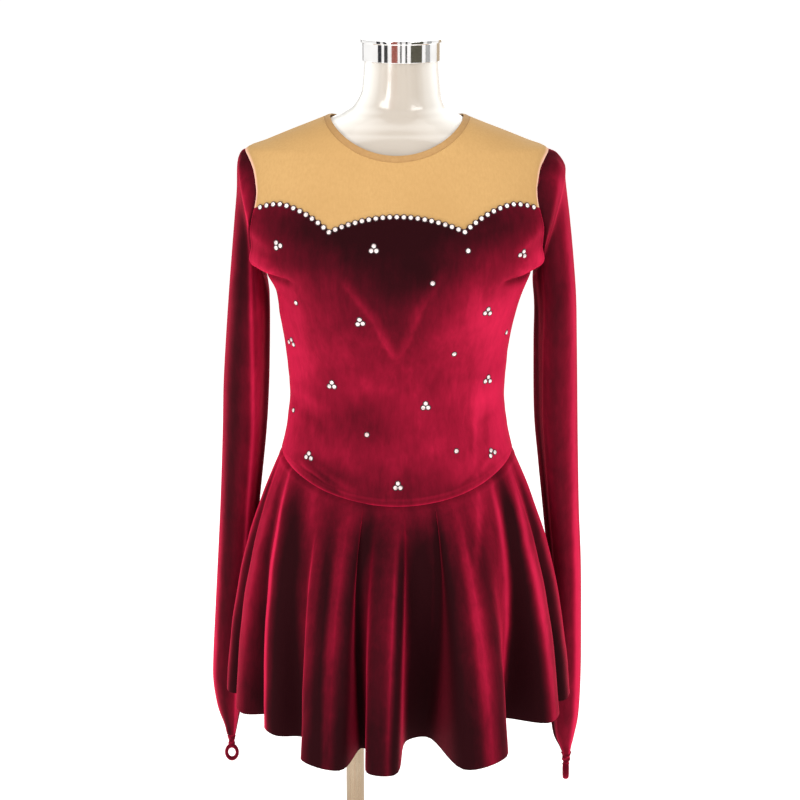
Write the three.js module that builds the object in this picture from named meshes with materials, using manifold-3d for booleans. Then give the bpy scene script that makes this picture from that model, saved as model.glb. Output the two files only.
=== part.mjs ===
// A figure skating dress of stretch velvet with a mesh yoke, on a limbless dress form and its stand.
// Millimetres, +Z up. The front faces -Y and +X is on the right of a person looking at the front.
// The origin is on the floor, under the middle of the whole object.

import * as THREE from 'three';
import { mergeVertices } from 'three/addons/utils/BufferGeometryUtils.js';
import Module from 'manifold-3d';

// Cloth.
const ease = 0.8; // between the form and the cloth
const wall = 1.4; // velvet with its pile, or mesh
const seamGap = 0.3; // between two pieces at a seam

// The form's outer surface, as level sections. half is half its width, front and back are its depths
// from the middle plane, and power is 2 for an ellipse and more for a squarer oval.
const figureSections = [
  { z: 756, half: 92, front: 66, back: 72, power: 2.0 },
  { z: 759, half: 108, front: 78, back: 84, power: 2.1 },
  { z: 772, half: 126, front: 90, back: 98, power: 2.1 },
  { z: 795, half: 144, front: 100, back: 109, power: 2.2 },
  { z: 830, half: 156, front: 106, back: 116, power: 2.3 },
  { z: 870, half: 157, front: 106, back: 117, power: 2.3 },
  { z: 910, half: 149, front: 102, back: 112, power: 2.3 },
  { z: 950, half: 136, front: 96, back: 104, power: 2.3 },
  { z: 985, half: 128, front: 90, back: 97, power: 2.3 },
  { z: 1023, half: 124.5, front: 86, back: 92, power: 2.3 },
  { z: 1060, half: 126.5, front: 91, back: 93, power: 2.3 },
  { z: 1095, half: 131, front: 103, back: 96, power: 2.3 },
  { z: 1130, half: 139, front: 116, back: 99, power: 2.3 },
  { z: 1169, half: 154, front: 121, back: 102, power: 2.3 },
  { z: 1200, half: 172, front: 116, back: 104, power: 2.3 },
  { z: 1240, half: 184, front: 101, back: 104, power: 2.3 },
  { z: 1275, half: 184, front: 86, back: 96, power: 2.2 },
  { z: 1300, half: 178, front: 76, back: 82, power: 2.1 },
  { z: 1311, half: 174, front: 71, back: 74, power: 2.0 },
  { z: 1320, half: 152, front: 68, back: 69, power: 2.0 },
  { z: 1330, half: 127, front: 64, back: 64, power: 2.0 },
  { z: 1340, half: 101, front: 58, back: 58, power: 2.0 },
  { z: 1348, half: 81, front: 52, back: 53, power: 2.0 },
  { z: 1355, half: 63, front: 48, back: 49, power: 2.0 },
  { z: 1364, half: 51, front: 45, back: 46, power: 2.0 },
  { z: 1380, half: 45, front: 43, back: 43, power: 2.0 },
  { z: 1413, half: 42, front: 42, back: 42, power: 2.0 },
];
const formBottom = 756;
const formTop = 1413;

// The armhole seam, an oval when seen from the side. The velvet's corner lies on it.
const underarm = 1174;
const shoulderTip = 1311;
const armholeDepth = 54;
const cornerHeight = 1251.3;
const formInset = 2.9; // the form is this much smaller under the cloth than its sections
const coveredNeck = 1336; // all of that below this height
const bareNeck = 1356; // and none of it above this one
const armPlateInset = 3; // the form's arm plates lie this far inside the armhole seams

// The sweetheart edge between velvet and mesh: a lobe in the middle and one on each side.
const cuspReach = 75;
const cuspHeight = 1233;
const middleLobeHeight = 1249.5;
const sideLobeReach = 132;
const sideLobeHeight = 1259.8;
const sideLobeCurve = 1.7;
const backEdgeDip = 24; // the velvet's top edge at the back, below its corners

// Neckline, at the inner edge of its binding.
const neckHalfWidth = 76;
const neckDropFront = 37;
const neckDropBack = 14;
const neckCurve = 1.6;
const neckSpread = 0.7; // how much of the binding's width goes into a lower edge
const bindingWidth = 7;
const bindingProud = 0.6;

// The seam between bodice and skirt.
const skirtSeamSide = 951;
const skirtSeamDropFront = 41;
const skirtSeamDropBack = 26;
const skirtSeamCurve = 1.7;

// Skirt. The flutes stand out from a plain hull; a row is one flute and the hollow after it.
// Angles are seen from above, from +X by the front (90) and the left (180) to the back (270).
// lean is how much further round the flute begins at the seam than it ends at the hem.
const hemHeightFront = 620;
const hemRiseSide = 22;
const hullSide = 190;
const hullFront = 168;
const hullBack = 172;
const hullFlare = 2.6;
const foldFlare = 1.15;
const leanFade = 1.6; // more than 1 takes more of the lean away near the seam
const flutes = [
  { ridge: 6, ridgeHalf: 6, reach: 210, hollow: 16.5, hollowHalf: 1, hollowReach: 182, lean: 0 },
  { ridge: 25, ridgeHalf: 4, reach: 209, hollow: 36, hollowHalf: 2, hollowReach: 150, lean: -2 },
  { ridge: 61, ridgeHalf: 7, reach: 216, hollow: 78, hollowHalf: 6, hollowReach: 114, lean: -4 },
  { ridge: 95, ridgeHalf: 4, reach: 207, hollow: 105.5, hollowHalf: 1.5, hollowReach: 146, lean: -3 },
  { ridge: 115, ridgeHalf: 6.5, reach: 211, hollow: 129.5, hollowHalf: 2.5, hollowReach: 168, lean: 8 },
  { ridge: 142, ridgeHalf: 3.5, reach: 192, hollow: 151, hollowHalf: 1.5, hollowReach: 170, lean: 12 },
  { ridge: 161, ridgeHalf: 4, reach: 202, hollow: 169.5, hollowHalf: 1.5, hollowReach: 182, lean: 4 },
  { ridge: 178, ridgeHalf: 4, reach: 208, hollow: 195, hollowHalf: 4, hollowReach: 158, lean: 0 },
  { ridge: 214, ridgeHalf: 5, reach: 197, hollow: 227, hollowHalf: 2, hollowReach: 148, lean: -7 },
  { ridge: 241, ridgeHalf: 6, reach: 202, hollow: 255, hollowHalf: 2, hollowReach: 142, lean: -8 },
  { ridge: 269, ridgeHalf: 5, reach: 205, hollow: 283, hollowHalf: 3, hollowReach: 138, lean: 0 },
  { ridge: 299, ridgeHalf: 6, reach: 203, hollow: 313, hollowHalf: 2, hollowReach: 150, lean: 8 },
  { ridge: 327, ridgeHalf: 5, reach: 194, hollow: 345, hollowHalf: 4, hollowReach: 160, lean: 7 },
];
const skirtStepsPerFlute = 6;
const skirtRows = 8;
const skirtRowPower = 1.25; // more than 1 puts more of the rows near the seam

// Sleeves, from the armhole down to the gathered point. out and outZ are the edge away from the body,
// in and inZ the edge beside it, midY the middle from front to back, and depth half the depth there.
const sleeveTables = {
  left: [
    { out: 180.5, outZ: 1306, in: 164, inZ: 1170, midY: 0, depth: 55 },
    { out: 184, outZ: 1292, in: 160, inZ: 1163, midY: 0, depth: 56 },
    { out: 187, outZ: 1264, in: 157, inZ: 1154, midY: 1, depth: 56 },
    { out: 190.5, outZ: 1228, in: 153.5, inZ: 1143, midY: 2, depth: 54 },
    { out: 194.5, outZ: 1185, in: 152, inZ: 1132, midY: 3, depth: 52 },
    { out: 198.6, outZ: 1139, in: 151, inZ: 1116, midY: 5, depth: 49 },
    { out: 204, outZ: 1080, in: 152.5, inZ: 1072, midY: 10, depth: 45 },
    { out: 208.5, outZ: 1026, in: 155, inZ: 1022, midY: 17, depth: 41 },
    { out: 212, outZ: 964, in: 160, inZ: 962, midY: 28, depth: 37 },
    { out: 219, outZ: 861, in: 172, inZ: 860, midY: 44, depth: 33 },
    { out: 228.5, outZ: 738, in: 184, inZ: 738, midY: 56, depth: 30 },
    { out: 234.5, outZ: 655, in: 193, inZ: 655, midY: 60, depth: 28 },
    { out: 235, outZ: 622, in: 196, inZ: 622, midY: 60, depth: 26 },
    { out: 230.5, outZ: 588, in: 201, inZ: 588, midY: 60, depth: 19 },
    { out: 223, outZ: 562, in: 206, inZ: 562, midY: 60, depth: 10 },
    { out: 220.5, outZ: 548, in: 208.5, inZ: 548, midY: 60, depth: 6 },
  ],
  right: [
    { out: 184, outZ: 1308, in: 164.5, inZ: 1170, midY: 0, depth: 55 },
    { out: 192, outZ: 1296, in: 161, inZ: 1163, midY: 0, depth: 56 },
    { out: 197, outZ: 1276, in: 161, inZ: 1153, midY: 1, depth: 56 },
    { out: 203, outZ: 1232, in: 162, inZ: 1143, midY: 2, depth: 54 },
    { out: 208, outZ: 1187, in: 163, inZ: 1132, midY: 2, depth: 52 },
    { out: 212, outZ: 1139, in: 163.5, inZ: 1116, midY: 3, depth: 49 },
    { out: 214.5, outZ: 1085, in: 164, inZ: 1078, midY: 7, depth: 45 },
    { out: 218.5, outZ: 993, in: 167, inZ: 992, midY: 18, depth: 40 },
    { out: 221.5, outZ: 930, in: 173.5, inZ: 930, midY: 27, depth: 36 },
    { out: 225, outZ: 861, in: 181.5, inZ: 861, midY: 35, depth: 32 },
    { out: 229.5, outZ: 791, in: 189, inZ: 791, midY: 40, depth: 30 },
    { out: 232, outZ: 706, in: 194, inZ: 706, midY: 42, depth: 28 },
    { out: 233, outZ: 640, in: 196, inZ: 640, midY: 42, depth: 26 },
    { out: 231.5, outZ: 586, in: 197, inZ: 586, midY: 42, depth: 20 },
    { out: 227, outZ: 556, in: 201, inZ: 556, midY: 42, depth: 13 },
    { out: 224, outZ: 540, in: 208, inZ: 540, midY: 42, depth: 8 },
    { out: 222.5, outZ: 529, in: 212.5, inZ: 529, midY: 42, depth: 5.5 },
  ],
};
const seamRise = 1.6; // the sleeve stands up from its seam before it spreads
const seamLean = 0.25; // and draws in by this much of that rise
// Where the hand opening faces, from outside (0) by the front (90), and half its angle.
const mouthDirection = { left: 235, right: 270 };
const mouthHalf = 75;
const mouthRows = 3; // rows of the sleeve that it takes out

// How the pieces that meet are divided, so that their edges match.
const edgeReaches = [147, 132, 118, 104, 92, 83, 75, 62, 48, 36, 24, 12, 0]; // along the velvet's top edge
const shoulderSteps = 6;
const neckSteps = 7; // in a quarter of the neckline
const yokeRows = 5;
const armholeSteps = 6; // from the velvet's corner down to the underarm
const bodiceRows = 8;
const footEvenness = 0.6; // 1 spaces the columns evenly along the skirt's seam, 0 as along the top edge
const seamTurn = 0.0006; // half the gap at a side seam, as a turn
const ridgeTurn = 0.004; // half the gap at a shoulder seam, as a turn

// Finger loops: a rolled velvet strap, doubled for its stem and open below for a finger.
const loopStrap = 2.4; // radius
const loops = {
  left: { x: -214.5, y: 60, top: 547.7, stem: 14, halfWidth: 8.2, halfHeight: 11.5, turned: 0 },
  right: { x: 217.5, y: 42, top: 528.7, stem: 12, halfWidth: 8, halfHeight: 11.5, turned: 90 },
};
const stemHead = 2; // the stem's radius at its top, in strap radii
const stemFoot = 1.2;
const loopSides = 6;
const loopSteps = 16;

// The form's neck stands this far to the right of the middle.
const neckLean = 5;
const neckRoot = 1340;
const neckStraight = 1380;

// Level rings of the form, closer together where it turns in.
const formSides = 32;
const formRows = [
  { from: formBottom, to: 800, step: 8 },
  { from: 804, to: 1299, step: 21 },
  { from: 1303, to: 1360, step: 6 },
  { from: 1363, to: 1409, step: 12 },
];

// Cap of the form's neck.
const capRadius = 44.5;
const capLipRadius = 46.5;
const capBottom = formTop + seamGap;
const capTop = 1438;
const capLip = 4; // its height
const capEdge = 1.5;
const capSides = 48;

// Stand.
const poleOffset = -53;
const poleRadius = 11.4;
const collarRadius = 19;
const collarHeight = 24;
const collarWall = 0.4;
const footRadius = 27;
const footHeight = 18;
const baseRadius = 180;
const baseThickness = 8;
const baseEdge = 2.5;
const baseSides = 64;
const collarSides = 32;
const collarEdge = 3;
const poleSides = 28;

// The value of one column of a table at a height, by a curve that never overshoots its rows.
function valueAt(table, z, column) {
  const last = table.length - 1;
  if (z <= table[0].z) return table[0][column];
  if (z >= table[last].z) return table[last][column];
  let row = 0;
  while (table[row + 1].z < z) row += 1;
  const gradient = (k) => (table[k + 1][column] - table[k][column]) / (table[k + 1].z - table[k].z);
  const slope = (k) => {
    if (k === 0) return gradient(0);
    if (k === last) return gradient(last - 1);
    const before = gradient(k - 1);
    const after = gradient(k);
    return before * after <= 0 ? 0 : (2 * before * after) / (before + after);
  };
  const span = table[row + 1].z - table[row].z;
  const t = (z - table[row].z) / span;
  const start = table[row][column] * (1 + 2 * t) * (1 - t) ** 2 + span * slope(row) * t * (1 - t) ** 2;
  const end = table[row + 1][column] * t * t * (3 - 2 * t) + span * slope(row + 1) * t * t * (t - 1);
  return start + end;
}

const share01 = (value) => Math.min(1, Math.max(0, value));
const signedPower = (value, power) => Math.sign(value) * Math.abs(value) ** power;

// A point of the form's surface. turn is 0 at +X, a quarter circle at the front, a half at -X.
function figurePoint(turn, z) {
  const half = valueAt(figureSections, z, 'half');
  const power = 2 / valueAt(figureSections, z, 'power');
  const depth = valueAt(figureSections, z, Math.sin(turn) >= 0 ? 'front' : 'back');
  return new THREE.Vector3(
    half * signedPower(Math.cos(turn), power),
    -depth * signedPower(Math.sin(turn), power),
    z,
  );
}

// The same point, moved out square to the surface.
function clothPoint(turn, z, out) {
  const small = 0.01;
  const across = figurePoint(turn + small, z).sub(figurePoint(turn - small, z));
  const up = figurePoint(turn, z + 1).sub(figurePoint(turn, z - 1));
  const square = up.cross(across).normalize();
  return figurePoint(turn, z).addScaledVector(square, out);
}

// The turn at which the surface lies x away from the middle at a height.
function turnAt(x, z, isFront) {
  const share = Math.min(1, Math.abs(x) / valueAt(figureSections, z, 'half'));
  const quarter = Math.acos(share ** (valueAt(figureSections, z, 'power') / 2));
  const turn = x >= 0 ? quarter : Math.PI - quarter;
  return isFront ? turn : -turn;
}

// The height of the shoulder line x away from the middle.
function shoulderHeight(x) {
  let low = shoulderTip;
  let high = formTop;
  while (high - low > 0.001) {
    const middle = (low + high) / 2;
    if (valueAt(figureSections, middle, 'half') > x) low = middle;
    else high = middle;
  }
  return low;
}

// A place on an armhole seam of the right side. angle is 0 at the shoulder tip, a quarter circle at the
// front and a half at the underarm. grow widens the oval.
function armholePlace(angle, grow) {
  const middle = (shoulderTip + underarm) / 2;
  const z = middle + ((shoulderTip - underarm) / 2 + grow) * Math.cos(angle);
  const isFront = Math.sin(angle) >= 0;
  const depth = valueAt(figureSections, z, isFront ? 'front' : 'back');
  const share = ((armholeDepth + grow) * Math.abs(Math.sin(angle))) / depth;
  const turn = Math.asin(Math.min(1, share) ** (valueAt(figureSections, z, 'power') / 2));
  return { turn: isFront ? turn : -turn, z };
}

const cornerAngle = Math.acos((2 * cornerHeight - shoulderTip - underarm) / (shoulderTip - underarm));
const cornerReach = figurePoint(armholePlace(cornerAngle, 0).turn, cornerHeight).x;

// Edges.
function sweetheartHeight(x) {
  const reach = Math.abs(x);
  if (reach < cuspReach) return cuspHeight + (middleLobeHeight - cuspHeight) * (1 - (reach / cuspReach) ** 2);
  const share = Math.abs(reach - sideLobeReach) / (sideLobeReach - cuspReach);
  return sideLobeHeight - (sideLobeHeight - cuspHeight) * share ** sideLobeCurve;
}

const backEdge = (x) => cornerHeight - backEdgeDip * (1 - (x / cornerReach) ** 2);

function skirtSeamHeight(turn) {
  const drop = Math.sin(turn) >= 0 ? skirtSeamDropFront : skirtSeamDropBack;
  return skirtSeamSide - drop * (1 - Math.abs(Math.cos(turn)) ** skirtSeamCurve);
}

// A point of the neckline as a turn and a height; inset moves it outwards from the neck.
function necklinePlace(angle, inset) {
  const reach = neckHalfWidth + inset;
  const x = reach * Math.cos(angle);
  const drop = (Math.sin(angle) >= 0 ? neckDropFront : neckDropBack) + inset * neckSpread;
  const z = shoulderHeight(reach) - drop * Math.abs(Math.sin(angle)) ** neckCurve;
  return { turn: turnAt(x, z, Math.sin(angle) >= 0), z };
}

// A wall between two grids of points with the same rows and columns. A closed wall joins its last
// column to its first.
function wallGeometry(outer, inner, isClosed) {
  const rows = outer.length;
  const columns = outer[0].length;
  const positions = [...outer.flat(), ...inner.flat()].flatMap((p) => [p.x, p.y, p.z]);
  const index = (side, row, column) => (side * rows + row) * columns + (column % columns);
  const faces = [];
  const quad = (a, b, c, d) => faces.push(a, b, c, a, c, d);
  const spans = isClosed ? columns : columns - 1;
  for (let row = 0; row < rows - 1; row += 1) {
    for (let column = 0; column < spans; column += 1) {
      const next = column + 1;
      const below = row + 1;
      quad(index(0, row, column), index(0, row, next), index(0, below, next), index(0, below, column));
      quad(index(1, row, column), index(1, below, column), index(1, below, next), index(1, row, next));
    }
  }
  for (let column = 0; column < spans; column += 1) {
    quad(index(0, 0, column), index(1, 0, column), index(1, 0, column + 1), index(0, 0, column + 1));
    const end = rows - 1;
    quad(index(0, end, column), index(0, end, column + 1), index(1, end, column + 1), index(1, end, column));
  }
  if (!isClosed) {
    for (let row = 0; row < rows - 1; row += 1) {
      quad(index(0, row, 0), index(0, row + 1, 0), index(1, row + 1, 0), index(1, row, 0));
      const edge = columns - 1;
      quad(index(0, row, edge), index(1, row, edge), index(1, row + 1, edge), index(0, row + 1, edge));
    }
  }
  return facingOut(positions, faces);
}

// A geometry whose faces point out of the solid, whichever way they were listed.
function facingOut(positions, faces) {
  const point = (k) => new THREE.Vector3().fromArray(positions, k * 3);
  let volume = 0;
  for (let k = 0; k < faces.length; k += 3) {
    volume += point(faces[k]).dot(point(faces[k + 1]).cross(point(faces[k + 2])));
  }
  const ordered = volume > 0 ? faces : faces.slice().reverse();
  const geometry = new THREE.BufferGeometry();
  geometry.setAttribute('position', new THREE.Float32BufferAttribute(positions, 3));
  geometry.setIndex(ordered);
  return geometry;
}

// A solid through level rings, closed at both ends by flat fans.
function loftGeometry(rings) {
  const columns = rings[0].length;
  const positions = rings.flat().flatMap((p) => [p.x, p.y, p.z]);
  const faces = [];
  for (let row = 0; row < rings.length - 1; row += 1) {
    for (let column = 0; column < columns; column += 1) {
      const next = (column + 1) % columns;
      const a = row * columns + column;
      const b = row * columns + next;
      faces.push(a, b, b + columns, a, b + columns, a + columns);
    }
  }
  const top = (rings.length - 1) * columns;
  for (let column = 1; column < columns - 1; column += 1) {
    faces.push(0, column + 1, column);
    faces.push(top, top + column, top + column + 1);
  }
  return facingOut(positions, faces);
}

const degrees = Math.PI / 180;
const steps = (count, make) => Array.from({ length: count + 1 }, (_, k) => make(k / count));
const mix = (from, to, share) => from + (to - from) * share;
const places = (grid, out) => grid.map((row) => row.map((place) => clothPoint(place.turn, place.z, out)));

// A panel that lies on the form: each column runs from a foot place to a head place.
function fittedPanel(feet, heads, rowCount, place) {
  const grid = steps(rowCount, (share) => feet.map((foot, k) => place(foot, heads[k], share)));
  return wallGeometry(places(grid, ease + wall), places(grid, ease), false);
}

// A row of half the piece's places, continued over the middle to the left side.
const mirrored = (half) => [
  ...half,
  ...half.slice(0, -1).map(({ turn, z }) => ({ turn: Math.PI - turn, z })).reverse(),
];

const keptInside = (turn, gap) => Math.min(Math.PI - gap, Math.max(gap, turn));
const toSide = (turn, isFront) => (isFront ? turn : -turn);

// Bodice: from the skirt's seam up to the armholes and the velvet's top edge.
function bodicePanel(isFront) {
  const topHeight = isFront ? sweetheartHeight : backEdge;
  const armhole = steps(armholeSteps, (share) => {
    const place = armholePlace(toSide(mix(Math.PI, cornerAngle, share), isFront), seamGap / 2);
    return { turn: Math.abs(place.turn), z: share === 1 ? place.z - seamGap / 2 : place.z };
  });
  const top = edgeReaches.map((x) => {
    const z = topHeight(x) - seamGap / 2;
    return { turn: turnAt(x, z, true), z };
  });
  const heads = mirrored([...armhole, ...top]);
  const feet = heads.map((head, k) => {
    const even = (k / (heads.length - 1)) * Math.PI;
    const turn = mix(head.turn, even, footEvenness);
    return { turn, z: skirtSeamHeight(toSide(turn, isFront)) };
  });
  return fittedPanel(feet, heads, bodiceRows, (foot, head, share) => {
    const turn = keptInside(mix(foot.turn, head.turn, share), seamTurn);
    return { turn: toSide(turn, isFront), z: mix(foot.z, head.z, share) };
  });
}

// Yoke: from the velvet's top edge up to the shoulder seams and the neckline.
function yokePanel(isFront) {
  const lowHeight = isFront ? sweetheartHeight : backEdge;
  const neckReach = neckHalfWidth + bindingWidth + seamGap;
  const tip = figurePoint(0, shoulderTip).x - seamGap;
  const ridge = steps(shoulderSteps, (share) => {
    const x = mix(tip, neckReach, share);
    return { x, z: shoulderHeight(x) };
  });
  const neck = steps(neckSteps, (share) => {
    const { turn, z } = necklinePlace(toSide((share * Math.PI) / 2, isFront), bindingWidth + seamGap);
    return { x: figurePoint(turn, z).x, z };
  });
  const heads = [...ridge, ...neck.slice(1)];
  const corner = armholePlace(toSide(cornerAngle, isFront), seamGap / 2);
  const cornerX = figurePoint(corner.turn, corner.z).x;
  const feet = [cornerX, ...edgeReaches].map((x) => ({ x, z: lowHeight(x) + seamGap / 2 }));
  const rows = steps(yokeRows, (share) => {
    const angle = mix(cornerAngle, 0, share);
    const climb = (Math.cos(angle) - Math.cos(cornerAngle)) / (1 - Math.cos(cornerAngle));
    const edge = armholePlace(toSide(angle, isFront), seamGap / 2);
    const edgeX = figurePoint(edge.turn, edge.z).x;
    const bow = edgeX - mix(feet[0].x, heads[0].x, climb);
    const lift = share === 0 ? seamGap / 2 : 0;
    const half = feet.map((foot, k) => {
      if (k === 0) return { turn: Math.abs(edge.turn), z: Math.min(edge.z, shoulderTip) + lift };
      const z = mix(foot.z, heads[k].z, climb);
      const x = mix(foot.x, heads[k].x, climb) + bow * (foot.x / cornerX) ** 3;
      return { turn: turnAt(x, z, true), z };
    });
    return mirrored(half).map(({ turn, z }) => ({ turn: toSide(keptInside(turn, ridgeTurn), isFront), z }));
  });
  return wallGeometry(places(rows, ease + wall), places(rows, ease), false);
}

function neckBinding() {
  const count = 4 * neckSteps;
  const ring = (inset) => steps(count - 1, (share) => {
    const angle = (share * (count - 1) * 2 * Math.PI) / count;
    return necklinePlace(angle, inset);
  });
  const grid = [ring(0), ring(bindingWidth / 2), ring(bindingWidth)];
  return wallGeometry(places(grid, ease + wall + bindingProud), places(grid, ease), true);
}

// Sleeve. A ring point's angle is 0 on the outside or top, a quarter circle at the front.
function sleeveGeometry(side) {
  const sign = side === 'left' ? -1 : 1;
  const table = sleeveTables[side];
  const down = [
    ...steps(yokeRows, (share) => mix(0, cornerAngle, share)),
    ...steps(armholeSteps, (share) => mix(cornerAngle, Math.PI, share)).slice(1),
  ];
  const angles = [...down, ...down.slice(1, -1).map((angle) => 2 * Math.PI - angle).reverse()];
  const seamRing = (inset, away) => angles.map((angle) => {
    const { turn, z } = armholePlace(angle, -seamGap / 2 - inset - away * seamLean);
    const point = clothPoint(turn, z, ease + wall);
    return new THREE.Vector3(sign * (point.x + away), point.y, point.z);
  });
  const ring = (row, inset) => angles.map((angle) => {
    const middle = new THREE.Vector3((row.out + row.in) / 2, row.midY, (row.outZ + row.inZ) / 2);
    const half = new THREE.Vector3((row.out - row.in) / 2, 0, (row.outZ - row.inZ) / 2);
    const long = half.length();
    const along = half.clone().normalize().multiplyScalar((long - inset) * Math.cos(angle));
    const point = middle.add(along);
    return new THREE.Vector3(sign * point.x, point.y - (row.depth - inset) * Math.sin(angle), point.z);
  });
  const grid = (inset) => [
    seamRing(inset, 0),
    seamRing(inset, seamRise),
    ...table.map((row) => ring(row, inset)),
  ];
  // The hand opening lifts the lower edge on one side.
  const lifted = (rows) => {
    const last = rows.length - 1;
    return rows.map((row, k) => row.map((point, column) => {
      const from = angles[column] / degrees - mouthDirection[side];
      const away = Math.abs(((from + 540) % 360) - 180);
      const lift = mouthRows * Math.max(0, Math.cos((Math.min(1, away / mouthHalf) * Math.PI) / 2));
      const start = last - mouthRows - 1;
      if (k <= start) return point;
      const at = mix(start, last - lift, (k - start) / (last - start));
      const below = Math.floor(at);
      const above = Math.min(last, below + 1);
      return rows[below][column].clone().lerp(rows[above][column], at - below);
    }));
  };
  return wallGeometry(lifted(grid(0)), lifted(grid(wall)), true);
}

// Skirt.

// The lean at an angle, from the leans of the flutes on both sides of it.
function leanAt(angle) {
  const place = (angle / degrees + 360) % 360;
  const next = flutes.findIndex(({ ridge }) => ridge > place);
  const after = flutes[next < 0 ? 0 : next];
  const before = flutes[(next < 0 ? flutes.length : next || flutes.length) - 1];
  const span = (after.ridge - before.ridge + 360) % 360;
  const share = ((place - before.ridge + 360) % 360) / span;
  return mix(before.lean, after.lean, share) * degrees;
}

// The hem's reach at each step round it, from the flutes and hollows, along a smooth closed curve.
function hemPlaces() {
  const knots = flutes.flatMap((flute) => [
    new THREE.Vector3(flute.ridge - flute.ridgeHalf, flute.reach, 0),
    new THREE.Vector3(flute.ridge + flute.ridgeHalf, flute.reach, 0),
    new THREE.Vector3(flute.hollow - flute.hollowHalf, flute.hollowReach, 0),
    new THREE.Vector3(flute.hollow + flute.hollowHalf, flute.hollowReach, 0),
  ]);
  const round = knots.map(({ x: angle, y: reach }) => (
    new THREE.Vector3(reach * Math.cos(angle * degrees), reach * Math.sin(angle * degrees), 0)
  ));
  const curve = new THREE.CatmullRomCurve3(round, true, 'centripetal');
  const count = flutes.length * skirtStepsPerFlute;
  return steps(count - 1, (share) => {
    const at = curve.getPoint((share * (count - 1)) / count);
    return { angle: Math.atan2(at.y, at.x), reach: at.length() };
  });
}

// An oval's reach in a direction seen from above.
function ovalReach(angle, side, depth, power) {
  const across = Math.abs(Math.cos(angle)) / side;
  const along = Math.abs(Math.sin(angle)) / depth;
  return (across ** power + along ** power) ** (-1 / power);
}

function skirtGeometry() {
  const out = ease + wall;
  const seamPasses = 4;
  const hem = hemPlaces();
  const seamPlace = (angle) => {
    const isFront = Math.sin(angle) >= 0;
    let z = skirtSeamSide;
    let reach = 0;
    for (let pass = 0; pass < seamPasses; pass += 1) {
      const half = valueAt(figureSections, z, 'half') + out;
      const depth = valueAt(figureSections, z, isFront ? 'front' : 'back') + out;
      const power = valueAt(figureSections, z, 'power');
      reach = ovalReach(angle, half, depth, power);
      const acrossShare = Math.min(1, Math.abs(reach * Math.cos(angle)) / half) ** (power / 2);
      z = skirtSeamHeight((isFront ? 1 : -1) * Math.acos(acrossShare));
    }
    return { reach, z: z - seamGap };
  };
  const point = ({ angle: hemAngle, reach }, share) => {
    const angle = hemAngle + leanAt(hemAngle) * (1 - share) ** leanFade;
    const seam = seamPlace(angle);
    const hull = ovalReach(angle, hullSide, Math.sin(angle) >= 0 ? hullFront : hullBack, 2);
    const hullShare = 1 - (1 - share) ** hullFlare;
    const fold = (reach - hull) * share ** foldFlare;
    const away = mix(seam.reach, hull, hullShare) + fold;
    const hemHeight = hemHeightFront + hemRiseSide * Math.cos(angle) ** 2;
    const z = mix(seam.z, hemHeight, share);
    return new THREE.Vector3(away * Math.cos(angle), -away * Math.sin(angle), z);
  };
  const outer = steps(skirtRows, (share) => hem.map((place) => point(place, share ** skirtRowPower)));
  const inner = outer.map((row, r) => row.map((at, k) => {
    const before = row[(k + row.length - 1) % row.length];
    const after = row[(k + 1) % row.length];
    const across = after.clone().sub(before);
    const lower = outer[Math.min(r + 1, skirtRows)][k];
    const upper = outer[Math.max(r - 1, 0)][k];
    const down = lower.clone().sub(upper);
    const square = across.cross(down).normalize();
    return at.clone().addScaledVector(square, wall);
  }));
  return wallGeometry(outer, inner, true);
}

// Finger loop, as one strap: a ring that hangs from a stem.
const wasm = await Module();
wasm.setup();

function solidFrom(geometry) {
  const plain = geometry.clone();
  plain.deleteAttribute('normal');
  plain.deleteAttribute('uv');
  const merged = mergeVertices(plain, 1e-4);
  return new wasm.Manifold(new wasm.Mesh({
    numProp: 3,
    vertProperties: new Float32Array(merged.attributes.position.array),
    triVerts: new Uint32Array(merged.index.array),
  }));
}

function geometryFrom(solid) {
  const mesh = solid.getMesh();
  const geometry = new THREE.BufferGeometry();
  geometry.setAttribute('position', new THREE.BufferAttribute(mesh.vertProperties, 3));
  geometry.setIndex(new THREE.BufferAttribute(mesh.triVerts, 1));
  return geometry;
}

function fingerLoop(loop) {
  const ringRadius = 10;
  const ring = new THREE.TorusGeometry(ringRadius, loopStrap, loopSides, loopSteps);
  const at = ring.attributes.position;
  for (let k = 0; k < at.count; k += 1) {
    const turn = Math.atan2(at.getY(k), at.getX(k));
    const outward = Math.hypot(at.getX(k), at.getY(k)) - ringRadius - loopStrap;
    const x = (loop.halfWidth + outward) * Math.cos(turn);
    const z = (loop.halfHeight + outward) * Math.sin(turn);
    at.setXYZ(k, x, -at.getZ(k), z);
  }
  const stemLength = loop.stem + loopStrap;
  const stem = new THREE.CylinderGeometry(loopStrap * stemHead, loopStrap * stemFoot, stemLength, loopSides);
  stem.rotateX(Math.PI / 2);
  stem.translate(0, 0, loop.halfHeight - loopStrap + stemLength / 2);
  const joined = geometryFrom(solidFrom(ring).add(solidFrom(stem)));
  joined.rotateZ(loop.turned * degrees);
  joined.translate(loop.x, loop.y, loop.top - loop.stem - loop.halfHeight);
  return joined;
}

// How far the form's flat arm plates are from the middle at a height.
function armPlateReach(z) {
  const middle = (shoulderTip + underarm) / 2;
  const share = Math.min(1, Math.max(-1, (z - middle) / (shoulderTip - middle)));
  const { turn } = armholePlace(Math.acos(share), 0);
  return figurePoint(turn, Math.min(z, shoulderTip)).x - armPlateInset;
}

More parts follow.
